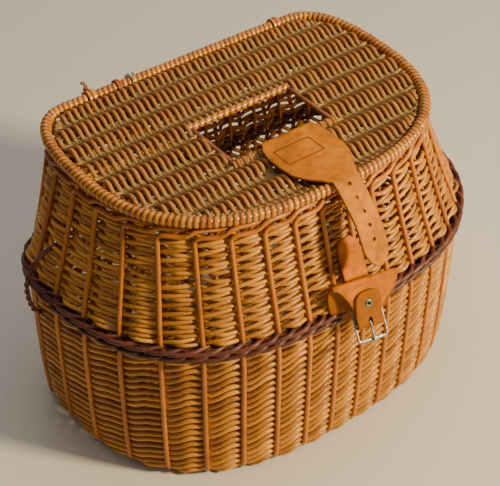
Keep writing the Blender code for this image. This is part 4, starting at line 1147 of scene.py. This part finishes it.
def woundRings(path, wrap, closed):
    # rings round a path, swelling and sinking with each slanted turn of the cane wound on it
    ahead = np.roll(path, -1, 0) - np.roll(path, 1, 0) if closed else np.gradient(path, axis=0)
    ahead /= np.linalg.norm(ahead, axis=1)[:, None]
    length = travel(path)
    whole = length[-1] + (np.linalg.norm(path[0] - path[-1]) if closed else 0)
    turns = round(whole / wrap["pitch"])
    place = length / whole * turns
    angles = np.linspace(0, 2 * math.pi, wrap["around"], endpoint=False)
    side = np.cross(ahead, (0, 0, 1.0))
    up = np.cross(side, ahead)
    tone = np.array([dice.random() for _ in range(turns + 4)])
    width = np.array([dice.uniform(0.82, 1.12) for _ in range(turns + 4)])
    rings, grooveShade, seed = [], [], []
    for index, point in enumerate(path):
        turn = place[index] - wrap["slant"] * np.sin(angles - math.pi / 2) / 4
        share = turn % 1
        which = np.floor(turn).astype(int) % turns
        swell = np.sqrt(np.clip(1 - (2 * share - 1) ** 2, 0, 1)) * width[which]
        radius = wrap["core"] + wrap["bulge"] * swell
        arm = np.outer(np.cos(angles), side[index]) + np.outer(np.sin(angles), up[index])
        rings.append(point + arm * radius[:, None])
        # how near each point is to a groove between turns, for painted shade there
        grooveShade.append(np.abs(2 * share - 1))
        seed.append(tone[which])
    run = np.repeat(length[:, None], wrap["around"], axis=1)
    return rings, {"grooveShadeNear": grooveShade, "rodSeed": seed, "rodRun": run}


def rimPiece():
    # the lid's rim
    count = int(planLength(plans["lid"]) / rimWrap["pitch"] * rimWrap["perTurn"])
    flat = alongPlan(plans["lid"], np.arange(count) / count)
    path = np.column_stack((flat, np.full(count, levels["lid"])))
    rings, attributes = woundRings(path, rimWrap, True)
    return sweepRings(rings, attributes, True)


def rearRodPiece():
    # the hole's rear rod
    wound = lidWeave["holeHalf"] + lidWeave["postRadius"]
    count = int(2 * wound / rearWrap["pitch"] * rearWrap["perTurn"])
    x = np.linspace(-wound, wound, count)
    path = np.column_stack((x, np.full(count, lidWeave["holeRearY"]), np.full(count, levels["lid"])))
    rings, attributes = woundRings(path, rearWrap, False)
    return sweepRings(rings, attributes)


finishPiece(rimPiece(), "woundRim", "lid", "golden_cane", finishes["cane"], "lid_rim")
finishPiece(rearRodPiece(), "woundRearRod", "lid", "golden_cane", finishes["cane"], "hole_rear_rod")
print("rim and rear rod wound")

hinges = {
    "leftX": -0.0947,
    "rightX": 0.1047,
    "rimRadius": 0.0050,
    "seat": 0.0004,
    "lowZ": 0.2440,
    "toe": 0.0060,
    # width, thickness and number of strands
    "loop": (0.0080, 0.0018, 2),
    "thong": (0.0050, 0.0015, 1),
    "thongX": -0.0672,
    "gap": 0.0001,
    "wornEdge": 0.0006,
    "grooveShade": 0.75,
}

twist = {
    "x": -0.0999,
    "reach": 0.0097,
    "radius": 0.0013,
    "turns": 2.5,
    "degrees": (-80, 24),
    "step": 0.0008,
    "spread": 0.8,
    # aside, back and up, of the twist's end that stands free
    "end": ((0.0062, 0.0002, 0.0070), (0.0048, 0.0020, 0.0098)),
}

wire = {
    "x": -0.0538,
    "reach": 0.0062,
    "radius": 0.0008,
    "eye": 0.0040,
    "eyeStart": 0.3,
    "drift": 0.0019,
}


def loopPath(distance):
    # round the lid's rod, the border and the stakes' ring, as depth and height
    rearY, lidZ = plans["lid"][2], levels["lid"]
    reach = hinges["rimRadius"] + distance
    path = [(rearY + reach * math.cos(turn), lidZ + reach * math.sin(turn))
            for turn in np.linspace(0, math.pi, 17)]
    corner, low = hinges["toe"] / 2, hinges["lowZ"] - distance
    toe = [(corner * (1 - math.cos(turn)), low + corner * (1 - math.sin(turn)))
           for turn in np.linspace(0, math.pi / 2, 7)]
    path += [(rearY - reach + inward, z) for inward, z in toe]
    path += [(rearY + reach - inward, z) for inward, z in toe[::-1]]
    return np.array(path)


def loopPiece(x, width, thick, strands):
    # one or more flat strands side by side, each a closed loop
    made = []
    for strand in range(strands):
        middle = x + (strand - (strands - 1) / 2) * width / strands
        half = width / strands / 2 - hinges["gap"]
        path = loopPath(hinges["seat"] + thick / 2 + 2 * hinges["gap"] * strand)
        ahead = np.roll(path, -1, 0) - np.roll(path, 1, 0)
        ahead /= np.linalg.norm(ahead, axis=1)[:, None]
        section = stripSection(-half, half, thick / 2 - hinges["gap"] / 2, 4)
        rings = []
        for (y, z), (aheadY, aheadZ) in zip(path, ahead):
            outward = np.array((0, aheadZ, -aheadY))
            aside = np.array((middle, y, z)) + np.outer(section[:, 0], (1.0, 0, 0))
            rings.append(aside + np.outer(section[:, 1], outward))
        shape, across = (len(path), len(section)), np.abs(section[:, 0])
        made.append(sweepRings(rings, {
            # painted shade towards each strand's edges
            "grooveShadeNear": np.broadcast_to(across / half, shape) * hinges["grooveShade"],
            "edgeNear": np.broadcast_to(np.exp(-(half - across) / hinges["wornEdge"]), shape),
            "grainSide": np.ones(shape),
            "rodSeed": np.full(shape, dice.random()),
            "rodRun": np.repeat(travel(path)[:, None], len(section), axis=1),
        }, True))
    return joined(made)


def twistLines():
    # the left loop's end, twisted together and bent up behind the rim
    rearY, lidZ, reach = plans["lid"][2], levels["lid"], twist["reach"]
    middle = []
    for index, turn in enumerate(np.radians(np.linspace(*twist["degrees"], 9))):
        aside = twist["x"] + twist["step"] * index
        middle.append((aside, rearY + reach * math.cos(turn), lidZ + reach * math.sin(turn)))
    middle += [(twist["x"] + aside, rearY + reach + back, lidZ + up) for aside, back, up in twist["end"]]
    middle = smoothPath(middle, 4)
    turn = np.linspace(0, 2 * math.pi * twist["turns"], len(middle))
    wind = np.outer(np.cos(turn), (1.0, 0, 0)) + np.outer(np.sin(turn), (0, 0.6, 0.8))
    wind *= twist["radius"] * twist["spread"]
    return [(middle + wind * sign, twist["radius"], False) for sign in (-1, 1)]


def wireLines():
    # repair wire over the rim, with an eye behind it
    x, reach, eye = wire["x"], wire["reach"], wire["eye"]
    rearY, lidZ, footZ = plans["lid"][2], levels["lid"], hinges["lowZ"]
    path = [(x, rearY - reach, footZ)]
    path += [(x, rearY + reach * math.cos(turn), lidZ + reach * math.sin(turn))
             for turn in np.linspace(math.pi, 0, 13)]
    for turn in np.linspace(wire["eyeStart"], 2 * math.pi, 20):
        back = rearY + reach + wire["drift"] * turn / (2 * math.pi)
        path.append((x + eye * (1 - math.cos(turn)), back, lidZ - eye * math.sin(turn)))
    path.append((x, rearY + reach + wire["drift"], footZ))
    return [(smoothPath(path, 2), wire["radius"], False)]


finishPiece(loopPiece(hinges["leftX"], *hinges["loop"]), "hingeLoopLeft", "basket", "golden_cane",
            finishes["cane"], "hinge_loop_left")
finishPiece(loopPiece(hinges["rightX"], *hinges["loop"]), "hingeLoopRight", "basket", "golden_cane",
            finishes["cane"], "hinge_loop_right")
finishPiece(rodBundle(twistLines()), "hingeLoopTwist", "basket", "dark_willow", finishes["stick"])
finishPiece(loopPiece(hinges["thongX"], *hinges["thong"]), "hingeThong", "basket", "grain_leather",
            finishes["thong"], "hinge_thong")
finishPiece(rodBundle(wireLines()), "hingeWire", "basket", "dull_steel", finishes["steel"], "hinge_wire")
print("hinge loops tied")

strap = {
    "x": 0.0040,
    "thick": 0.0024,
    "plateZ": 0.2692,
    "bendY": -0.1165,
    "underlap": 0.0240,
    "tongueLength": 0.0790,
    "slopes": (30.0, 41.0, 41.0, 58.0, 60.0, 61.0),
    "holeShares": (0.105, 0.262, 0.414, 0.560, 0.712),
    "holeRadius": 0.0014,
    # depth from the plate's fold and left and right edges, measured across from the strap's middle
    "plateEdges": ((0.0, -0.0290, 0.0260), (0.004, -0.0325, 0.0275), (0.016, -0.0355, 0.0288),
                   (0.032, -0.0357, 0.0284), (0.045, -0.0340, 0.0262), (0.055, -0.0275, 0.0215),
                   (0.063, -0.0195, 0.0160), (0.070, -0.0145, 0.0134), (0.076, -0.0132, 0.0128)),
    "tongueEdges": ((0.0, -0.0130, 0.0128), (0.5, -0.0126, 0.0124), (0.80, -0.0128, 0.0124),
                    (0.87, -0.0112, 0.0116), (0.93, -0.0088, 0.0092), (0.97, -0.0060, 0.0063),
                    (1.0, -0.0022, 0.0026)),
    "underHalf": 0.0128,
    "ripple": 0.0003,
    "steps": 48,
    "blendStart": (0.004, -0.1150, 0.2700),
    "blendEnd": (0.004, -0.1235, 0.2655),
}


def edgesAt(table, place):
    # left and right edge at a place along a table of them
    table = np.array(table)
    return [np.interp(place, table[:, 0], table[:, column]) for column in (1, 2)]


def strapPath():
    # from under the lid, round the hole's front rod, forward over the lid and down over the rim
    reach = strap["plateZ"] - levels["lid"]
    lowZ = levels["lid"] - reach
    points = [(holeFrontY - strap["underlap"] * share, lowZ) for share in np.linspace(1, 0.05, 10)]
    points += [(holeFrontY + reach * math.cos(turn), levels["lid"] + reach * math.sin(turn))
               for turn in np.linspace(-math.pi / 2, math.pi / 2, 15)]
    foldEnd = len(points)
    points += [(y, strap["plateZ"] + strap["ripple"] * math.sin(y * 130))
               for y in np.linspace(holeFrontY - 0.002, strap["bendY"], 30)]
    bend, steps = len(points), strap["steps"]
    y, z = points[-1]
    for step in range(steps):
        share = (step + 0.5) / steps
        slope = np.interp(share * (len(strap["slopes"]) - 1), range(len(strap["slopes"])), strap["slopes"])
        slope = math.radians(slope * smoothStep(share / 0.05 + 0.25))
        y -= math.cos(slope) * strap["tongueLength"] / steps
        z -= math.sin(slope) * strap["tongueLength"] / steps
        points.append((y, z))
    path = np.array([(strap["x"], y, z) for y, z in points])
    return path, foldEnd, bend


def strapPiece():
    # plate and tongue in one, with the tongue's holes
    path, foldEnd, bend = strapPath()
    run = travel(path)
    lefts, rights = [], []
    foldLeft, foldRight = strap["plateEdges"][0][1:]
    narrow = strap["underHalf"]
    for index in range(len(path)):
        if index < foldEnd:
            # widening from the end under the weave to the fold
            share = smoothStep(run[index] / run[foldEnd - 1] * 1.2)
            left, right = -narrow + (foldLeft + narrow) * share, narrow + (foldRight - narrow) * share
        elif index < bend:
            left, right = edgesAt(strap["plateEdges"], run[index] - run[foldEnd - 1])
        else:
            left, right = edgesAt(strap["tongueEdges"], (run[index] - run[bend - 1]) / strap["tongueLength"])
        lefts.append(left)
        rights.append(right)
    made = leatherSheet(path, np.array((1.0, 0, 0)), lefts, rights, strap["thick"])
    pegs = []
    for share in strap["holeShares"]:
        reach = run[bend - 1] + share * strap["tongueLength"]
        place = np.array([np.interp(reach, run, path[:, axis]) for axis in range(3)])
        after = np.array([np.interp(reach + 0.002, run, path[:, axis]) for axis in range(3)])
        normal = np.cross(after - place, (1.0, 0, 0))
        pegs.append(peg(place + np.array((0.0002, 0, 0)), normal, strap["holeRadius"], 0.02, 1.15))
    return punch(made, pegs)


finishPiece(strapPiece(), "lidStrap", None, "grain_leather", finishes["plate"], "strap_plate", "strap_tongue")
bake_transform(bpy.data.objects["lidStrap"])
print("lid strap cut")

buckle = {
    "x": -0.0028,
    "tabY": -0.1557,
    "turn": -12.0,
    "thick": 0.0020,
    "foldZ": 0.192464,
    "pivotBack": 0.0036,
    "foldRadius": 0.0020,
    "drop": 76.0,
    "flapLength": 0.0385,
    "barReach": 0.0026,
    "barRadius": 0.0013,
    "footZ": 0.1500,
    "frontLength": 0.0312,
    "frontRest": 0.0023,
    "rivetUp": 0.0187,
    "frameTilt": 23.0,
    "halfWidth": 0.0142,
    "halfLength": 0.0155,
    "sideBar": 0.0018,
    "endBar": 0.0030,
    "frameThick": 0.0018,
    "corner": 0.0026,
    # distance below the fold and the left and right edges there
    "tabEdges": ((0.0, -0.0300, 0.0290), (0.004, -0.0318, 0.0298), (0.010, -0.0325, 0.0300),
                 (0.020, -0.0315, 0.0295), (0.030, -0.0288, 0.0275), (0.038, -0.0250, 0.0240),
                 (0.0425, -0.0205, 0.0200)),
    "flapEdges": ((0.0, -0.0300, 0.0290), (0.003, -0.0262, 0.0294), (0.006, -0.0232, 0.0290),
                  (0.010, -0.0205, 0.0276), (0.014, -0.0178, 0.0250), (0.018, -0.0158, 0.0215),
                  (0.022, -0.0141, 0.0176), (0.026, -0.0129, 0.0147), (0.030, -0.0122, 0.0130),
                  (0.036, -0.0119, 0.0121)),
    "tipShares": ((0.60, 0.97), (0.35, 0.87), (0.18, 0.70), (0.08, 0.50), (0.02, 0.28), (0.0, 0.12)),
    "arcDrop": 0.00184,
    "ripple": 0.0003,
    "layEnd": 0.0080,
    "rivetHole": 0.0024,
    "slotHole": 0.0021,
    "slotDowns": (-0.0040, -0.0012, 0.0020),
    # radius and height of the rivet's section
    "rivetProfile": ((0.0013, 0.0016), (0.0016, 0.0029), (0.0023, 0.0032), (0.0031, 0.0029),
                     (0.0036, 0.0023), (0.0034, 0.0022), (0.0021, 0.0021), (0.0021, -0.0021),
                     (0.0034, -0.0022), (0.0036, -0.0024), (0.0030, -0.0029), (0.0018, -0.0029),
                     (0.0013, -0.0020)),
    "squash": 0.6,
    "hubGap": 0.0009,
    "hubWire": 0.0007,
    "pinPast": 0.0019,
    "pinRest": 0.0011,
    "pinRadii": (0.0011, 0.0010, 0.0009, 0.0005),
    "blendStart": (-0.0031, -0.1569, 0.1925),
    "blendEnd": (-0.0036, -0.1592, 0.1925),
}
dropSlope = math.radians(buckle["drop"])
flapDown = np.array((0, -math.cos(dropSlope), -math.sin(dropSlope)))
flapAway = np.array((0, -math.sin(dropSlope), math.cos(dropSlope)))
flapPivot = np.array((buckle["x"], buckle["tabY"] - buckle["pivotBack"], buckle["foldZ"]))
barCentre = flapPivot + flapDown * buckle["flapLength"] + flapAway * buckle["barReach"]
tiltSlope = math.radians(buckle["drop"] - buckle["frameTilt"])
frameDown = np.array((0, -math.cos(tiltSlope), -math.sin(tiltSlope)))
frameAway = np.array((0, -math.sin(tiltSlope), math.cos(tiltSlope)))
acrossBuckle = np.array((1.0, 0, 0))
rivetPlace = flapPivot + flapDown * (buckle["flapLength"] - buckle["rivetUp"])


def turnBuckle(made):
    # the whole buckle is turned a little to one side, about the tab's middle
    centre = Vector((buckle["x"], buckle["tabY"], 0))
    turn = Matrix.Rotation(math.radians(buckle["turn"]), 4, "Z")
    made.data.transform(Matrix.Translation(centre) @ turn @ Matrix.Translation(-centre))
    return made


def flapPiece():
    # up the wall, over the fold, down to the buckle's bar, round it and up again over the flap's face
    path, lefts, rights = [], [], []

    def add(point, left, right):
        path.append(point)
        lefts.append(left)
        rights.append(right)

    x, tabY, foldRadius, barReach = buckle["x"], buckle["tabY"], buckle["foldRadius"], buckle["barReach"]
    arcZ = buckle["foldZ"] - buckle["arcDrop"]
    for z in np.linspace(buckle["footZ"], arcZ - 0.0006, 22):
        below = buckle["foldZ"] - z
        ripple = buckle["ripple"] * math.sin(below * 200)
        add((x, tabY + ripple, z), *edgesAt(buckle["tabEdges"], below))
    arcY = tabY - foldRadius
    for turn in np.radians(np.linspace(0, 166, 13)):
        point = (x, arcY + foldRadius * math.cos(turn), arcZ + foldRadius * math.sin(turn))
        add(point, *buckle["tabEdges"][0][1:])
    for down in np.linspace(0.0022, buckle["flapLength"], 34):
        add(flapPivot + flapDown * down, *edgesAt(buckle["flapEdges"], down))
    width = buckle["flapEdges"][-1][2]
    for turn in np.linspace(0, math.pi, 15)[1:]:
        point = barCentre - flapAway * barReach * math.cos(turn) + flapDown * barReach * math.sin(turn)
        add(point, -width, width)
    closed = barCentre + flapAway * (buckle["frontRest"] - barReach)
    front = barCentre + flapAway * barReach
    for up in np.linspace(0.001, buckle["layEnd"], 6):
        ease = smoothStep(up / buckle["layEnd"])
        add(front - flapDown * up + (closed - front) * ease, -width, width)
    for up in np.linspace(0.0090, buckle["frontLength"] - width, 10):
        add(closed - flapDown * up, -width, width)
    for share, widthShare in buckle["tipShares"]:
        up = buckle["frontLength"] - width * share
        add(closed - flapDown * up, -width * widthShare, width * widthShare)
    made = leatherSheet(path, acrossBuckle, lefts, rights, buckle["thick"])
    middle = rivetPlace + flapAway * (buckle["thick"] / 2)
    pegs = [peg(middle, flapAway, buckle["rivetHole"], 0.03)]
    for down in buckle["slotDowns"]:
        pegs.append(peg(barCentre + flapDown * down, flapAway, buckle["slotHole"], 0.03))
    return turnBuckle(punch(made, pegs))


def eyeletPiece():
    # a rolled tube through both layers, flanged at each face
    middle = rivetPlace + flapAway * (buckle["frontRest"] / 2)
    turns = np.linspace(0, 2 * math.pi, 32, endpoint=False)
    arm = np.outer(np.cos(turns), acrossBuckle) + np.outer(np.sin(turns), flapDown)
    rings = [middle + arm * radius + flapAway * height for radius, height in buckle["rivetProfile"]]
    return turnBuckle(sweepRings(rings, {}, True, 60))


def squashed(value):
    # nearer to a square than a round section
    return np.sign(value) * np.abs(value) ** buckle["squash"]


def framePiece():
    # a cast frame: thin sides and broader ends, with rounded corners and edges
    wide, tall = buckle["halfWidth"] - buckle["sideBar"] / 2, buckle["halfLength"] - buckle["endBar"] / 2
    corner = buckle["corner"]
    path, halves, outs = [], [], []
    for cornerX, cornerZ, start in ((1, 1, 0), (-1, 1, 90), (-1, -1, 180), (1, -1, 270)):
        centre = np.array((cornerX * (wide - corner), cornerZ * (tall - corner)))
        for turn in np.radians(np.linspace(start, start + 90, 8)):
            out = np.array((math.cos(turn), math.sin(turn)))
            path.append(centre + out * corner)
            outs.append(out)
            share = abs(out[1]) ** 2
            halves.append(buckle["sideBar"] / 2 + (buckle["endBar"] - buckle["sideBar"]) / 2 * share)
    rings = []
    turns = np.linspace(0, 2 * math.pi, 12, endpoint=False)
    for place, half, out in zip(path, halves, outs):
        outward = acrossBuckle * out[0] + frameDown * out[1]
        at = barCentre + acrossBuckle * place[0] + frameDown * place[1]
        rings.append(at + np.outer(squashed(np.cos(turns)) * half, outward)
                     + np.outer(squashed(np.sin(turns)) * buckle["frameThick"] / 2, frameAway))
    frameMade = sweepRings(rings, {}, True)
    barHalf = buckle["halfWidth"] - 0.0008
    bar = [barCentre + acrossBuckle * side * barHalf for side in np.linspace(-1, 1, 9)]
    barMade = rodBundle([(np.array(bar), buckle["barRadius"], False)], 12)
    return turnBuckle(joined([frameMade, barMade]))


def prongPiece():
    # a wire ring round the bar and a pin that rests on the frame's end
    hub = buckle["barRadius"] + buckle["hubGap"]
    turns = np.linspace(0, 2 * math.pi, 24, endpoint=False)
    ring = [barCentre + frameDown * hub * math.cos(turn) + frameAway * hub * math.sin(turn) for turn in turns]
    tip = buckle["halfLength"] + buckle["pinPast"]
    rest = buckle["frameThick"] / 2 + buckle["pinRest"]
    course = ((0.0, hub), (0.003, hub * 0.98), (0.007, hub * 0.93), (0.011, rest + 0.0001),
              (tip - 0.0025, rest), (tip, rest - 0.0003))
    pin = smoothPath([barCentre + frameAway * high + frameDown * down for down, high in course], 4)
    radii = np.interp(np.linspace(0, 1, len(pin)), (0, 0.7, 0.93, 1), buckle["pinRadii"])
    return turnBuckle(rodBundle([(np.array(ring), buckle["hubWire"], True), (pin, radii, False)], 10))


finishPiece(flapPiece(), "buckleStrap", None, "grain_leather", finishes["buckleLeather"],
            "buckle_tab", "buckle_flap")
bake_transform(bpy.data.objects["buckleStrap"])
finishPiece(eyeletPiece(), "eyelet", "buckle_flap", "dull_steel", finishes["eyelet"], "buckle_rivet")
finishPiece(framePiece(), "buckleFrame", "buckle_frame", "dull_steel", finishes["steel"], "buckle_frame")
finishPiece(prongPiece(), "bucklePin", "buckle_prong", "dull_steel", finishes["steel"], "buckle_prong")

anchor = {
    "x": 0.0004,
    "thick": 0.0020,
    "topZ": 0.2150,
    "lowZ": 0.1680,
    "lean": 0.0040,
    "clear": 0.0040,
    "tuck": 0.0030,
    "edges": ((0.0, -0.0060, 0.0050), (0.04, -0.0090, 0.0080), (0.12, -0.0112, 0.0108),
              (0.3, -0.0122, 0.0124), (1.0, -0.0125, 0.0125)),
}


def anchorPiece():
    # a flat strap on the wall, its top end tucked in between two rows
    path, lefts, rights = [], [], []
    for share in np.linspace(0, 1, 22):
        z = anchor["topZ"] + (anchor["lowZ"] - anchor["topZ"]) * share
        tuck = anchor["tuck"] * (1 - smoothStep(share / 0.10))
        y = wallPoints(z, [0])[0][1] - swingAt(z) - anchor["clear"] + tuck
        path.append((anchor["x"] + anchor["lean"] * (share - 0.4), y, z))
        left, right = edgesAt(anchor["edges"], share)
        lefts.append(left)
        rights.append(right)
    return leatherSheet(path, acrossBuckle, lefts, rights, anchor["thick"])


finishPiece(anchorPiece(), "anchorStrap", "basket", "grain_leather", finishes["buckleLeather"],
            "anchor_strap")
print("buckle and its leather made")

camera = {
    "azimuth": -37.09,
    "elevation": 40.81,
    "roll": 0.30,
    "target": (0, 0, 0.12),
    "distance": 1.193,
    "lens": 93.6,
    "sensor": 36,
    "nearest": 0.01,
}

stage = {
    "floorSize": 8,
    "floorColour": (0.66, 0.63, 0.58, 1),
    "floorRoughness": 0.75,
    "worldColour": (0.86, 0.82, 0.76, 1),
    "worldStrength": 0.17,
    "aim": (0, 0, 0.12),
    # place, size, power and tint of each lamp
    "windowLight": ((0.92, -1.46, 1.16), 0.26, 73, (1.0, 0.80, 0.46)),
    "skyFill": ((0.2, 0.2, 2.4), 2.0, 20, (1.0, 0.93, 0.82)),
    "rearFill": ((0.6, 1.8, 1.4), 1.6, 5, (1.0, 0.96, 0.90)),
}


def addCamera():
    azimuth, elevation = math.radians(camera["azimuth"]), math.radians(camera["elevation"])
    back = Vector((math.sin(azimuth) * math.cos(elevation), -math.cos(azimuth) * math.cos(elevation),
                   math.sin(elevation)))
    bpy.ops.object.select_all(action="DESELECT")
    bpy.ops.object.camera_add(location=Vector(camera["target"]) + back * camera["distance"])
    made = bpy.context.object
    made.name = "photoCamera"
    made.rotation_mode = "QUATERNION"
    facing = (-back).to_track_quat("-Z", "Y")
    made.rotation_quaternion = facing @ Matrix.Rotation(math.radians(camera["roll"]), 3, "Z").to_quaternion()
    made.data.lens = camera["lens"]
    made.data.sensor_width = camera["sensor"]
    made.data.clip_start = camera["nearest"]
    bpy.context.scene.camera = made


def addFloor():
    bpy.ops.object.select_all(action="DESELECT")
    bpy.ops.mesh.primitive_plane_add(size=stage["floorSize"], location=(0, 0, 0))
    floor = bpy.context.object
    floor.name = "floor"
    paint, tree, shader = newFinish("floorPaint")
    putValues(tree, shader, {"Base Color": stage["floorColour"], "Roughness": stage["floorRoughness"]})
    floor.data.materials.append(paint)


def addLight(name):
    place, size, power, tint = stage[name]
    bpy.ops.object.select_all(action="DESELECT")
    bpy.ops.object.light_add(type="AREA", location=place)
    lamp = bpy.context.object
    lamp.name = name
    lamp.data.size = size
    lamp.data.energy = power
    lamp.data.color = tint
    lamp.rotation_mode = "QUATERNION"
    lamp.rotation_quaternion = (Vector(stage["aim"]) - Vector(place)).to_track_quat("-Z", "Y")


def setWorld():
    world = bpy.context.scene.world or bpy.data.worlds.new("softRoom")
    bpy.context.scene.world = world
    world.use_nodes = True
    putValues(world.node_tree, world.node_tree.nodes["Background"], {
        "Color": stage["worldColour"], "Strength": stage["worldStrength"]})


addCamera()
addFloor()
addLight("windowLight")
addLight("skyFill")
addLight("rearFill")
setWorld()
print("stage lit")
